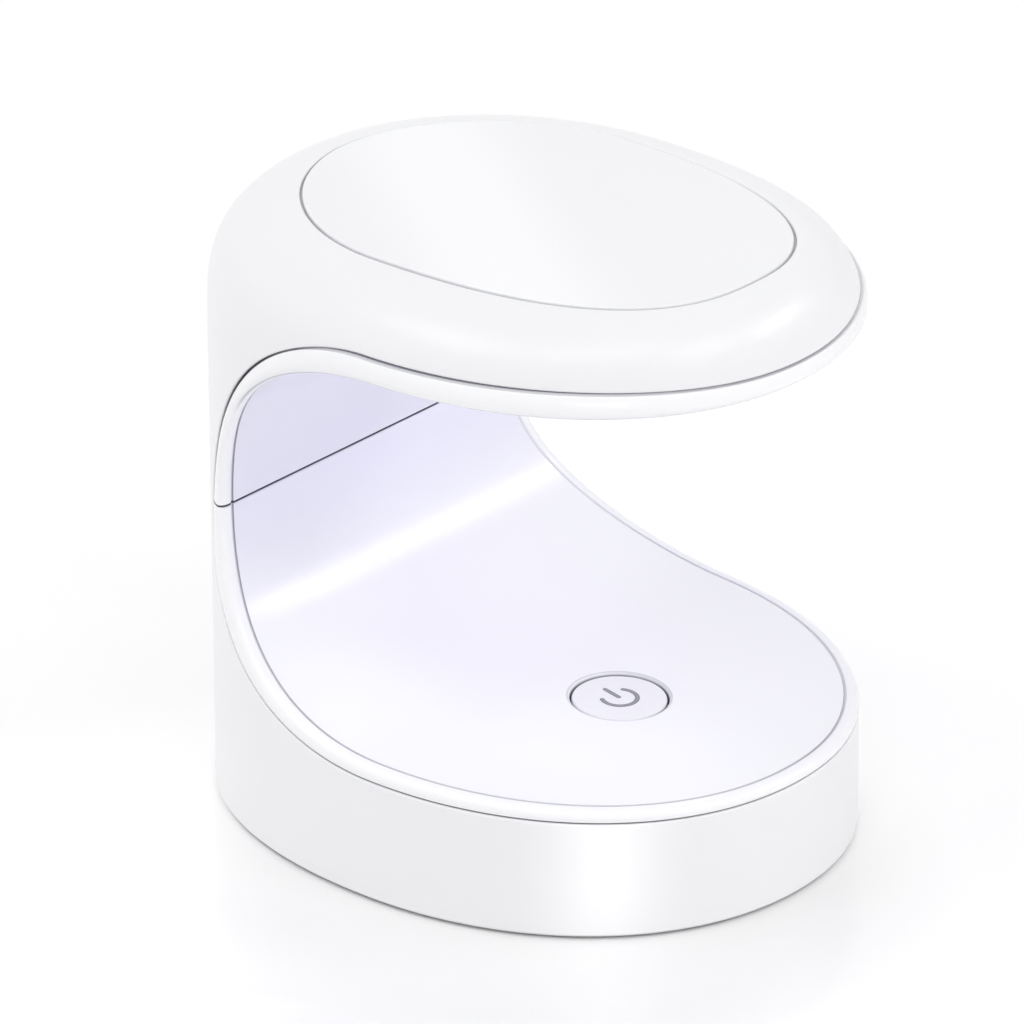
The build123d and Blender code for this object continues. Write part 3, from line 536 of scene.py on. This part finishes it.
def arm_grids(curve, edge_curve, side, chord_y, hole):
    """Flat arm of a lining, in front of a chord: its face runs from a hole out to the rim, and its back
    returns. Side is 1 where depth goes down, as in the deck, and -1 where it goes up, as in the head."""
    half_x, half_y, corner, centre_y, bevel = hole

    def height(y, depth):
        return quarter_height(*curve(), y) - side * depth

    front = np.linspace(-math.pi / 2, 0, FRONT_COLUMNS + SIDE_COLUMNS // 2)
    beyond = np.linspace(WIDEST_Y, chord_y, BEYOND_COLUMNS)[1:] if chord_y > WIDEST_Y else np.zeros(0)

    def rim_ring(inset, depth, inner=0, gap=0):
        inset = np.broadcast_to(inset, len(front) + len(beyond))
        x, y = plan(front, inset[:len(front)])
        x, y = np.r_[x, plan_x(beyond, inset[len(front):])], np.r_[y, beyond]
        return with_zones(points_of(x, y, height(y, depth)), inner, gap)

    flat_y = rim_ring(0.0, 0.0)[:, 1]
    length = side * (height(flat_y, 0.0) - quarter_height(*edge_curve(), flat_y))
    profile = rim_profile(side, length, flat_y, height(flat_y, 0.0))
    rim = np.stack([rim_ring(*row) for row in profile], 1)

    def chord(inset, depth, inner=0):
        x = plan_x(np.array(chord_y), inset) * np.linspace(1, 0, CHORD_COLUMNS)[1:]
        return with_zones(points_of(x, chord_y, height(np.array(chord_y), depth)), inner)

    face_edge = np.concatenate([rim[:, 0], chord(FLAT_INSET, 0.0, 1)])
    angle = np.arctan2(face_edge[:, 1] - centre_y, face_edge[:, 0])

    def hole_ring(out, depth):
        x, y = hole_edge(angle, half_x + out, half_y + out, corner + out, centre_y)
        return with_zones(points_of(x, y, height(y, depth)), 1)

    share = np.linspace(0, 1, ARM_ROWS)[None, :, None]
    face = hole_ring(bevel, 0.0)[:, None] * (1 - share) + face_edge[:, None] * share
    face[..., 2] = height(face[..., 1], 0.0)
    back_edge = np.concatenate([rim[:, -1], chord(RIM_WIDTH, LINER_WALL)])
    bore = [hole_ring(0.0, LINER_WALL), hole_ring(0.0, bevel)]
    for turn in ROLL_STEPS[1:-1]:
        bore.append(hole_ring(bevel * (1 - math.cos(turn)), bevel * (1 - math.sin(turn))))
    # Painted shade down the bore and a painted grey ring on the bevel
    for row, shade in zip(bore, BORE_SHADES):
        row[..., 4] = shade
    face = np.concatenate([np.stack(bore, 1), face], 1)
    back_share = share[:, ::BACK_EVERY]
    back = back_edge[:, None] * (1 - back_share) + bore[0][:, None] * back_share
    back[..., 2] = height(back[..., 1], LINER_WALL)
    back[:, 0], back[:, -1] = back_edge, bore[0]
    return [face, rim, back]


def near_seam(line):
    """The line with two more points just before its end, for the seam's small rounded edge."""
    last, step = line[-1], (line[-2] - line[-1]) / np.linalg.norm(line[-2] - line[-1])
    return np.concatenate([line[:-1], [last + step * SEAM_EDGE, last + step * SEAM_EDGE * SEAM_TURN, last]])


def even_points(line, count):
    """Points at even steps along a line given by many points."""
    steps = np.r_[0, np.cumsum(np.linalg.norm(np.diff(line, axis=0), axis=1))]
    wanted = np.linspace(0, steps[-1], count)
    return np.stack([np.interp(wanted, steps, line[:, axis]) for axis in range(2)], 1)


def spine_grids(curve, edge_curve, side, chord_y, seam_z):
    """Curved part of a lining, ruled across the width, from the arm's chord to the seam, and its end, which
    has painted shade.
    """
    fine = np.linspace(0, math.pi / 2, FINE_POINTS)

    def from_chord_to_seam(points, own_curve):
        start = (chord_y, quarter_height(*own_curve(), np.array(chord_y)))
        return np.concatenate([[start], points, [(points[-1, 0], seam_z)]])

    line = quarter(*curve(), fine)
    line = line[(line[:, 0] >= chord_y) & (side * line[:, 1] <= side * seam_z)]
    line = from_chord_to_seam(line, curve)
    far_curve = head_edge_curve if side > 0 else base_edge_curve
    edge = np.concatenate([quarter(*edge_curve(), fine), quarter(*far_curve(), fine[::-1])])
    edge = edge[edge[:, 0] >= chord_y]
    edge = edge[:np.flatnonzero(side * edge[:, 1] <= side * seam_z)[-1] + 1]
    edge = from_chord_to_seam(edge, edge_curve)
    face, back = even_points(line, SPINE_COLUMNS), even_points(edge, SPINE_COLUMNS)
    face, back = near_seam(face), near_seam(back)
    length = np.linalg.norm(back - face, axis=1)
    behind = (back - face) / length[:, None]
    # The seam's small edge: the face's last points sink as they come near it
    lead = np.maximum(SEAM_EDGE - np.abs(face[:, 1] - seam_z), 0)

    def across(inset, depth, inner, gap, shares):
        place = face + behind * (depth + lead * (depth < length - 2 * SEAM_EDGE))[:, None]
        x = plan_x(place[:, 0], inset)
        gap = np.broadcast_to(gap, length.shape)[:, None]
        return with_zones(points_of(x[:, None] * shares, place[:, :1], place[:, 1:]), inner, gap)

    rim = [across(*row, np.ones(1)) for row in rim_profile(side, length, *face.T)]
    half = np.linspace(0, 1, CHORD_COLUMNS)
    none = np.zeros_like(length)
    section = np.concatenate([across(FLAT_INSET, none, 1, 0, half), *rim[1:],
                              across(RIM_WIDTH, none + LINER_WALL, 0, 0, half[::-1])[:, 1:]], 1)
    # Painted shade on the seam's end face and the section's last row
    section[-1, :, 4] = 1
    return section, section[-1].copy()


def make_lining(name, curve, edge_curve, side, chord_y, hole, seam_z):
    """Arm and spine in one piece. The inner face's zone, which carries the painted violet glow and painted
    shade, fades out down the spine.
    """
    section, end = spine_grids(curve, edge_curve, side, chord_y, seam_z)
    grids = [*arm_grids(curve, edge_curve, side, chord_y, hole), section]
    # Painted violet glow and shade: none on the deck, growing up the spine, full under the head
    for grid in grids:
        grid[..., 3] *= smooth_step(grid[..., 2], PAINTED_GLOW_START_Z, PAINTED_GLOW_FULL_Z)
    return piece_from(name, grids, [end])


# Holes in the arms: half width, half length, corner, centre's y and bevel
well = (WELL_RADIUS, WELL_RADIUS, WELL_RADIUS, BUTTON_Y, WELL_BEVEL)
window_hole = (WINDOW_HALF_WIDTH, WINDOW_HALF_LENGTH, WINDOW_CORNER, LAMP_Y, WINDOW_BEVEL)
casing = make_outer_shell()
cut_out(casing, make_slot_cutter())
cover = make_cover()
lower_lining = make_lining("lower_lining", deck_curve, base_edge_curve, 1, WIDEST_Y, well, SEAM_Z)
upper_lining = make_lining("upper_lining", underside_curve, head_edge_curve, -1, HEAD_CHORD_Y, window_hole,
                           SEAM_Z + SEAM_GAP)
# Piece, the node that it replaces, and its material slot
PLASTIC_PIECES = (
    (casing, "outer_shell", "shell_white"), (cover, "top_panel", "shell_white"),
    (lower_lining, "lower_liner", "liner_white"), (upper_lining, "upper_liner", "liner_white"))
for piece, node, slot in PLASTIC_PIECES:
    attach(piece, "lamp")
    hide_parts(node)


# Power sign printed on the button

SIGN_RADIUS, SIGN_STROKE, SIGN_INK = 1.88, 0.5, 0.02
SIGN_BAR_START, SIGN_BAR_LENGTH = 0.1, 2.25
SIGN_RING_ANGLES, SIGN_BAR_ANGLE = (145.0, 389.0), 80.0
# Share of the stroke's width over which its edge fades from the darker ink
INK_EDGE = 0.3


def on_button(x, y, lift):
    """Points on the button's face, which is as much off level as the deck, raised by lift along its axis."""
    turned_z = lift - BUTTON_RECESS
    return points_of(x, BUTTON_Y + y * math.cos(DECK_TILT) - turned_z * math.sin(DECK_TILT),
                     BUTTON_Z + y * math.sin(DECK_TILT) + turned_z * math.cos(DECK_TILT))


def ink_stroke(x, y):
    """Flat stroke of even width with round ends along a line of points, a closed sheet as thick as the ink.
    Its edges lie in the gap zone, where the ink is darker."""
    line = np.stack([x, y], -1)
    along = np.gradient(line, axis=0)
    along /= np.linalg.norm(along, axis=1)[:, None]
    beside = np.stack([-along[:, 1], along[:, 0]], -1)
    turn = np.linspace(0, math.pi / 2, 9)[:-1, None]
    ahead, aside = SIGN_STROKE / 2 * np.cos(turn), SIGN_STROKE / 2 * np.sin(turn)
    centre = np.concatenate([line[:1] - along[:1] * ahead, line, line[-1:] + along[-1:] * ahead[::-1]])
    half = np.concatenate([aside, np.full((len(line), 1), SIGN_STROKE / 2), aside[::-1]])
    side = np.concatenate([beside[:1].repeat(len(turn), 0), beside, beside[-1:].repeat(len(turn), 0)])
    left, right = centre + side * half, centre - side * half
    near_left = (1 - INK_EDGE) * left + INK_EDGE * right
    near_right = INK_EDGE * left + (1 - INK_EDGE) * right
    rows = [(left, 0.0, 1), (left, SIGN_INK, 1), (near_left, SIGN_INK, 0), (near_right, SIGN_INK, 0),
            (right, SIGN_INK, 1), (right, 0.0, 1), (left, 0.0, 1)]
    return np.stack([with_zones(on_button(*row.T, lift), gap=edge) for row, lift, edge in rows], 1)


def make_power_sign():
    """Ring open towards the spine, and a bar in the opening."""
    turn = np.radians(np.linspace(*SIGN_RING_ANGLES, 97))
    ring = ink_stroke(SIGN_RADIUS * np.cos(turn), SIGN_RADIUS * np.sin(turn))
    along = np.linspace(SIGN_BAR_START, SIGN_BAR_START + SIGN_BAR_LENGTH, 9)
    lean = math.radians(SIGN_BAR_ANGLE)
    bar = ink_stroke(along * math.cos(lean), along * math.sin(lean))
    return piece_from("power_sign", [ring, bar], mirrored=False)


sign = make_power_sign()
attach(sign, "button")


# Finishes

# Millimetres: the colour's drift, marks in metal, tracks under the solder mask, and the emitters' spots
FLOW_SIZE, METAL_RELIEF, MASK_RELIEF = 30.0, 0.004, 0.03
TRACK_PITCH, TRACK_LENGTH = 1.2, 3.0
LED_PITCH_X, LED_PITCH_Y, SPOT_CORE, SPOT_EDGE = 8.0, 9.0, 0.8, 4.5
LAMP_GLOW, METAL_SPREAD = 0.66, 0.08
# Levels between which a noise's middle part lies
NOISE_LOW, NOISE_HIGH = 0.3, 0.7


def linear(code):
    """An sRGB hex colour as linear light."""
    parts = [int(code[place:place + 2], 16) / 255 for place in (1, 3, 5)]
    return [part / 12.92 if part <= 0.04045 else ((part + 0.055) / 1.055) ** 2.4 for part in parts] + [1.0]


def grey(level):
    """A grey as linear light."""
    return (level, level, level, 1)


def add(tree, kind, sockets, **settings):
    """Adds one node: settings are its own, sockets are its inputs, each a value or another node's output."""
    node = tree.nodes.new("ShaderNode" + kind)
    for name, value in settings.items():
        setattr(node, name, value)
    for name, value in sockets.items():
        if isinstance(value, bpy.types.NodeSocket):
            tree.links.new(value, node.inputs[name])
        else:
            node.inputs[name].default_value = value
    return node


def new_finish(name):
    """Empty material and the object's own coordinates in it."""
    material = bpy.data.materials.new(name)
    material.use_nodes = True
    tree = material.node_tree
    tree.nodes.clear()
    return material, tree, add(tree, "TexCoord", {}).outputs["Object"]


def finish_with(tree, sockets):
    """Principled shader as the material's surface."""
    add(tree, "OutputMaterial", {"Surface": add(tree, "BsdfPrincipled", sockets).outputs[0]})


def mixed(tree, share, first, second):
    """Colour between two others."""
    return add(tree, "MixRGB", {"Fac": share, "Color1": first, "Color2": second}).outputs["Color"]


def maths(tree, operation, *values):
    """Result of a sum, a product or the like."""
    return add(tree, "Math", dict(enumerate(values)), operation=operation).outputs[0]


def noise(tree, place, size, detail):
    """Noise whose marks have a size in millimetres."""
    return add(tree, "TexNoise", {"Vector": place, "Scale": 1 / (size * MM), "Detail": detail}).outputs["Fac"]


def faded(tree, distance, start, full, first=0.0, last=1.0):
    """Smooth step between two values over a distance, which starts and ends at places in millimetres."""
    return add(tree, "MapRange", {"Value": distance, "From Min": start * MM, "From Max": full * MM,
                                  "To Min": first, "To Max": last},
               interpolation_type="SMOOTHSTEP").outputs["Result"]


def grained(tree, marks, roughness, spread, relief):
    """Inputs of a surface whose gloss and relief follow a noise: the roughness goes from a spread below its
    middle to a spread above, and the relief is in millimetres."""
    gloss = add(tree, "MapRange", {"Value": marks, "From Min": NOISE_LOW, "From Max": NOISE_HIGH,
                                   "To Min": roughness - spread, "To Max": roughness + spread})
    bump = add(tree, "Bump", {"Height": marks, "Distance": relief * MM, "Strength": 1.0})
    return {"Roughness": gloss.outputs["Result"], "Normal": bump.outputs["Normal"]}


def seen_by_eye(tree):
    """1 where a surface is seen directly, in gloss or through glass, and 0 where it only lights others."""
    ray = add(tree, "LightPath", {})
    seen = ray.outputs["Is Camera Ray"]
    for kind in ("Is Glossy Ray", "Is Transmission Ray"):
        seen = maths(tree, "MAXIMUM", seen, ray.outputs[kind])
    return seen


def moulded(name, light, dark, roughness, spread, grain, relief, inner=None, gap=None, **sockets):
    """Moulded material: its colour drifts a little from one shade to another over a few centimetres, as the
    melt flowed, and a grain of a real size in millimetres, as the mould's polish left it, varies gloss and
    relief. Zones of the mesh may mix in other colours: inner is a painted violet glow and painted shade on
    the lining's inner face, and gap is painted shade at the bottom of a gap, or the darker edge of printed
    ink."""
    material, tree, place = new_finish(name)
    shade = mixed(tree, noise(tree, place, FLOW_SIZE, 2.0), linear(light), linear(dark))
    zones = add(tree, "Attribute", {}, attribute_name="zones")
    zone = add(tree, "SeparateXYZ", {"Vector": zones.outputs["Vector"]})
    # inner: painted violet glow and shade of the lamp; gap: painted shade in gaps, or the printed ink's
    # darker edge
    for axis, code in (("X", inner), ("Y", gap)):
        if code:
            shade = mixed(tree, zone.outputs[axis], shade, linear(code))
    finish_with(tree, {"Base Color": shade, "Metallic": 0.0, **sockets,
                       **grained(tree, noise(tree, place, grain, 3.0), roughness, spread, relief)})
    return material


def turned_metal(name, light, dark, roughness, grain, stretch):
    """Metal with fine marks of a real width in millimetres, drawn out along X as rolling leaves them."""
    material, tree, place = new_finish(name)
    drawn = add(tree, "Mapping", {"Vector": place, "Scale": (1 / stretch, 1.0, 1.0)}).outputs["Vector"]
    marks = noise(tree, drawn, grain, 4.0)
    finish_with(tree, {"Base Color": mixed(tree, marks, linear(light), linear(dark)), "Metallic": 1.0,
                       **grained(tree, marks, roughness, METAL_SPREAD, METAL_RELIEF)})
    return material


def solder_mask(name):
    """Green lacquer over copper: square-cornered tracks show a shade lighter through it."""
    material, tree, place = new_finish(name)
    lines = add(tree, "TexBrick", {
        "Vector": place, "Scale": 1 / (TRACK_PITCH * MM), "Mortar Size": 0.12, "Brick Width": TRACK_LENGTH,
        "Row Height": 1.0, "Color1": linear("#0E5A2F"), "Color2": linear("#0C5029"),
        "Mortar": linear("#1B7A44")})
    bump = add(tree, "Bump", {"Height": lines.outputs["Fac"], "Distance": MASK_RELIEF * MM, "Strength": 1.0})
    finish_with(tree, {"Base Color": lines.outputs["Color"], "Normal": bump.outputs["Normal"],
                       "Roughness": 0.35})
    return material


def glowing_diffuser(name):
    """Frosted acrylic with the emitters behind it: soft violet spots fade into an even glow. The distance
    from the nearest emitter comes from folding both coordinates over at half the pitch."""
    material, tree, place = new_finish(name)
    split = add(tree, "SeparateXYZ", {"Vector": place})
    across = maths(tree, "PINGPONG", split.outputs["X"], LED_PITCH_X * MM / 2)
    offset = maths(tree, "ADD", split.outputs["Y"], -LAMP_Y * MM)
    along = maths(tree, "PINGPONG", offset, LED_PITCH_Y * MM / 2)
    from_row = maths(tree, "SUBTRACT", LED_PITCH_Y * MM / 2, along)
    apart = add(tree, "CombineXYZ", {"X": across, "Y": from_row})
    distance = add(tree, "VectorMath", {0: apart.outputs[0]}, operation="LENGTH").outputs["Value"]
    glow = faded(tree, distance, SPOT_CORE, SPOT_EDGE, 1.0, 0.0)
    finish_with(tree, {"Base Color": linear("#E6E2F4"), "Roughness": 0.42, "IOR": 1.49,
                       "Emission Color": mixed(tree, glow, linear("#C9C0F2"), linear("#EFEAFF")),
                       "Emission Strength": LAMP_GLOW})
    return material


FINISHES = {
    # Glossy ABS from a polished mould: clean white with soft reflections, and painted shade in the gaps round
    # the opening and the cover
    "shell_white": moulded("glossy_abs_shell", "#F3F3F5", "#F1F1F4", 0.30, 0.015, 1.2, 0.0012,
                           gap="#88888D", IOR=1.53),
    # The lining's ABS; its inner face carries a painted violet glow and painted shade of the lit lamp, and
    # its gaps carry painted shade
    "liner_white": moulded("glossy_abs_lining", "#F7F7F9", "#F5F5F8", 0.22, 0.015, 1.2, 0.0012,
                           inner="#E9E8F5", gap="#807F8B", IOR=1.53),
    # Spark-eroded ABS of the bottom cover: matt, with a grain of a third of a millimetre
    "base_white": moulded("textured_abs_cover", "#E6E6E8", "#DFDFE2", 0.55, 0.06, 0.35, 0.02, IOR=1.53),
    # Moulded silicone feet: soft grey, nearly without gloss
    "rubber": moulded("silicone_rubber", "#9C9DA2", "#8E8F95", 0.72, 0.06, 0.5, 0.02, IOR=1.43),
    # Glass-filled nylon of the switch: black with a dull sheen
    "switch_black": moulded("black_nylon", "#1C1C1E", "#141416", 0.48, 0.06, 0.3, 0.01, IOR=1.53),
    # Epoxy of the chips: dark grey and matt
    "chip_black": moulded("moulded_epoxy", "#232326", "#1A1A1C", 0.6, 0.05, 0.2, 0.01, IOR=1.55),
    # Closed-cell foam tape: off-white with fine cells
    "foam": moulded("polyurethane_foam", "#DEDCD2", "#C9C7BC", 0.9, 0.05, 0.4, 0.08, IOR=1.45),
    # Nylon of the wire connectors: creamy and slightly glossy
    "connector_white": moulded("natural_nylon", "#E3DFD0", "#DAD5C4", 0.4, 0.04, 0.4, 0.006, IOR=1.53),
    # Silicone-free PVC of the wires: red and smooth
    "wire_red": moulded("red_pvc", "#B0241F", "#A01C19", 0.38, 0.04, 0.6, 0.004, IOR=1.52),
    # Silicone lens over a ceramic package: milky, with a painted violet glow of the lit emitter in its colour
    "led_white": moulded("silicone_lens", "#EAE4FA", "#DDD4F6", 0.25, 0.03, 0.5, 0.004, IOR=1.42),
    # Zinc-plated steel of the screws
    "screw_steel": turned_metal("zinc_plated_steel", "#C4C6CA", "#A9ABB0", 0.32, 0.12, 3.0),
    # Nickel-plated steel of the charging socket's shell
    "socket_steel": turned_metal("nickel_plated_steel", "#CDCDC9", "#B5B5B0", 0.24, 0.1, 6.0),
    # Rolled aluminium of the emitter board
    "board_aluminium": turned_metal("rolled_aluminium", "#D5D6D8", "#BFC1C4", 0.38, 0.15, 8.0),
    # Laminated aluminium foil round the cell
    "cell_foil": turned_metal("laminated_foil", "#C9CBCF", "#B4B6BB", 0.3, 0.3, 2.0),
    "board_green": solder_mask("green_solder_mask"),
    "window_clear": glowing_diffuser("frosted_acrylic"),
}
SIGN_INK_FINISH = moulded("pad_printing_ink", "#9A9AA0", "#96969C", 0.45, 0.03, 0.3, 0.002,
                          gap="#66666C", IOR=1.5)
for part in frame["record"]["subparts"]:
    node = NODES[part["node"]]
    node.data.materials.clear()
    node.data.materials.append(FINISHES[part["material_slot"]])
for piece, node, slot in PLASTIC_PIECES:
    piece.data.materials.append(FINISHES[slot])
sign.data.materials.append(SIGN_INK_FINISH)


# Studio: white paper, a white sky, soft boxes and lamps close to the object

# Floor in millimetres: its size, its fibres, where it turns plain white, and where painted light lifts its
# shadow
FLOOR_RADIUS, FIBRE_SIZE = 3000.0, 4.0
WHITE_FROM, WHITE_BY = 65.0, 150.0
FADE_FROM, FADE_BY, FADE_CENTRE = 26.0, 46.0, (-16.0, -16.0, 0.0)
# Its shade where it is seen and where it lights, a fibre's share of that, the painted light that lifts its
# shadow, and the sheen
FLOOR_SEEN, FLOOR_BOUNCE, FIBRE_SHADE, FLOOR_PAINTED_LIGHT = 0.95, 0.85, 0.997, 0.105
FLOOR_SHEEN, SHEEN_ROUGHNESS = 0.24, 0.09
# Axis and strength of each of the sky's lobes
SKY_LOBES = {(0, 0, 1): 0.1, (-1, 0, 0): 0.46, (0, 1, 0): 1.34, (0, -1, 0): 1.04}
STUDIO_CENTRE = (0.0, 0.0, 0.03)
# Soft boxes: bearing and height in degrees, distance, width and height in metres, power in watts, and whether
# they show in gloss
SOFT_BOXES = {
    "key": (48.0, 34.0, 0.7, 0.30, 0.10, 0.495, True),
    "side": (95.0, 47.0, 0.7, 0.30, 0.19, 0.28, False),
    "over": (-50.0, 62.0, 0.8, 0.50, 0.24, 0.69, True),
    "over_front": (5.0, 43.0, 0.8, 0.30, 0.20, 0.54, True),
    "over_left": (-125.0, 58.0, 0.8, 0.40, 0.20, 0.66, True),
}
# Lamps close to the object: place, aim, width and height in millimetres, power in watts, colour, the pieces
# that they light, and the beam's spread and roll in degrees
NEAR_LAMPS = {
    "glow": ((0, LAMP_Y, 57.9), (0, 31, 0), 24, 18, 0.00066, "#A296FF", ()),
    "streak": ((21, -13, 57.3), (-22, 18, 24), 14, 4.5, 0.0016, "#FFFFFF", (lower_lining,)),
    "echo": ((25, 3, 57.0), (-10, 9, 17), 12, 4, 0.0003, "#FFFFFF", (lower_lining,)),
    "band": ((-40.5, -49.3, 7), (-20.7, -26.8, 7), 8, 30, 0.00018, "#FFFFFF", (casing,), 27),
    "rims": ((-380, -380, 50), (0, 0, 30), 180, 60, 0.16, "#FFFFFF", (lower_lining, upper_lining)),
    "sheen": ((-1, 11, 110), (-1, 11, 67), 14, 90, 0.0003, "#FFFFFF", (cover,), 20, -36),
}
# Camera: bearing and height in degrees, distance and the point it looks past in metres, lens in millimetres
CAMERA_AZIMUTH, CAMERA_ELEVATION, CAMERA_DISTANCE = -49.6956, 25.5772, 0.9091
CAMERA_CENTRE, CAMERA_LENS, CAMERA_SHIFT = (0.0, -0.001, 0.0305), 304.8, (-0.0308, 0.0242)


def floor_finish():
    """Satin white paper. Seen directly or in a reflection it keeps the shadow near the object and turns plain
    white by a smooth step of the distance from it. Before that, painted light, a smooth step of the distance
    from a point at the object's front left, lifts the paper's shadow away from that point."""
    material, tree, place = new_finish("white_paper")
    seen = seen_by_eye(tree)
    from_middle = add(tree, "VectorMath", {0: place}, operation="LENGTH")
    white = faded(tree, from_middle.outputs["Value"], WHITE_FROM, WHITE_BY)
    fibre = noise(tree, place, FIBRE_SIZE, 2.0)
    paper = mixed(tree, fibre, grey(FLOOR_SEEN), grey(FLOOR_SEEN * FIBRE_SHADE))
    shade = mixed(tree, seen, grey(FLOOR_BOUNCE), mixed(tree, white, paper, grey(0)))
    matt = add(tree, "BsdfDiffuse", {"Color": shade})
    # Painted light that lifts the floor's shadow, growing away from the object's front left
    centre = [part * MM for part in FADE_CENTRE]
    from_front = add(tree, "VectorMath", {0: place, 1: centre}, operation="DISTANCE")
    painted_light = faded(tree, from_front.outputs["Value"], FADE_FROM, FADE_BY, 0.0, FLOOR_PAINTED_LIGHT)
    level = add(tree, "MapRange", {"Value": white, "To Min": painted_light, "To Max": 1 - FLOOR_SHEEN})
    lift = maths(tree, "MULTIPLY", seen, level.outputs["Result"])
    glow = add(tree, "Emission", {"Color": grey(1), "Strength": lift})
    sheen = add(tree, "BsdfGlossy", {"Color": grey(1), "Roughness": SHEEN_ROUGHNESS})
    surface = add(tree, "MixShader", {0: FLOOR_SHEEN, 1: matt.outputs[0], 2: sheen.outputs[0]})
    lit = add(tree, "AddShader", {0: surface.outputs[0], 1: glow.outputs[0]})
    add(tree, "OutputMaterial", {"Surface": lit.outputs[0]})
    return material


def make_floor():
    """Flat disc: rings of points out to its edge, with a point in the middle."""
    turn = np.linspace(0, 2 * math.pi, 97)
    radius = np.linspace(0, FLOOR_RADIUS, 13)[:, None]
    rings = points_of(radius * np.cos(turn), radius * np.sin(turn), 0.0)
    floor = piece_from("floor", [rings[::-1]], mirrored=False)
    floor.data.materials.append(floor_finish())


def bearing(azimuth, elevation):
    """Direction from the object at a bearing and height; azimuth 0 is in front of the mouth."""
    turn, tilt = math.radians(azimuth), math.radians(elevation)
    return Vector((math.sin(turn) * math.cos(tilt), -math.cos(turn) * math.cos(tilt), math.sin(tilt)))


def area_lamp(name, width, height, power):
    """Rectangular lamp of a size in metres, at the origin."""
    data = bpy.data.lights.new(name, "AREA")
    data.shape, data.size, data.size_y, data.energy = "RECTANGLE", width, height, power
    lamp = bpy.data.objects.new(name, data)
    bpy.context.collection.objects.link(lamp)
    return lamp


def softbox(name, azimuth, elevation, distance, width, height, power, in_gloss):
    """Area lamp that faces the object from a bearing and height."""
    back = bearing(azimuth, elevation)
    lamp = area_lamp(name, width, height, power)
    lamp.rotation_euler = back.to_track_quat("Z", "Y").to_euler()
    lamp.location = Vector(STUDIO_CENTRE) + back * distance
    lamp.visible_glossy = in_gloss


def near_lamp(name, place, aim, width, height, power, colour, receivers, spread=180.0, roll=0.0):
    """Small area lamp close to the object; the camera doesn't see it, and it lights only the receivers, where
    they are named."""
    lamp = area_lamp(name, width * MM, height * MM, power)
    lamp.data.color, lamp.data.spread = linear(colour)[:3], math.radians(spread)
    lamp.location = Vector(place) * MM
    turned = (Vector(place) - Vector(aim)).to_track_quat("Z", "Y") @ Quaternion((0, 0, 1), math.radians(roll))
    lamp.rotation_euler = turned.to_euler()
    lamp.visible_camera = False
    if receivers:
        lamp.light_linking.receiver_collection = bpy.data.collections.new(name)
        for piece in receivers:
            lamp.light_linking.receiver_collection.objects.link(piece)


def make_world():
    """White sky. Its light for matt surfaces is a sum of soft lobes, each its strength times the cosine from
    its axis. Seen directly or in gloss and glass it is even."""
    world = bpy.data.worlds.new("studio")
    world.use_nodes = True
    tree = world.node_tree
    tree.nodes.clear()
    way = add(tree, "TexCoord", {}).outputs["Generated"]
    level = 0.0
    for axis, strength in SKY_LOBES.items():
        lean = add(tree, "VectorMath", {0: way, 1: axis}, operation="DOT_PRODUCT")
        lobe = maths(tree, "MAXIMUM", lean.outputs["Value"], 0.0)
        level = maths(tree, "MULTIPLY_ADD", lobe, strength, level)
    shown = add(tree, "MapRange", {"Value": seen_by_eye(tree), "To Min": level, "To Max": 1.0})
    sky = add(tree, "Background", {"Color": grey(1), "Strength": shown.outputs["Result"]})
    add(tree, "OutputWorld", {"Surface": sky.outputs[0]})
    return world


def make_camera():
    """Camera at a bearing and height from a point of the object, level from side to side."""
    back = bearing(CAMERA_AZIMUTH, CAMERA_ELEVATION)
    turn = math.radians(CAMERA_AZIMUTH)
    right = Vector((math.cos(turn), math.sin(turn), 0))
    data = bpy.data.cameras.new("camera")
    data.sensor_width, data.lens = 36.0, CAMERA_LENS
    data.shift_x, data.shift_y = CAMERA_SHIFT
    data.clip_start, data.clip_end = 0.01, 20.0
    camera = bpy.data.objects.new("camera", data)
    bpy.context.collection.objects.link(camera)
    rows = Matrix((right, back.cross(right), back)).transposed().to_4x4()
    camera.matrix_world = Matrix.Translation(Vector(CAMERA_CENTRE) + back * CAMERA_DISTANCE) @ rows
    bpy.context.scene.camera = camera


make_camera()
make_floor()
for name, place in SOFT_BOXES.items():
    softbox(name, *place)
for name, lamp in NEAR_LAMPS.items():
    near_lamp(name, *lamp)
scene = bpy.context.scene
scene.world = make_world()
scene.view_settings.view_transform = "Standard"
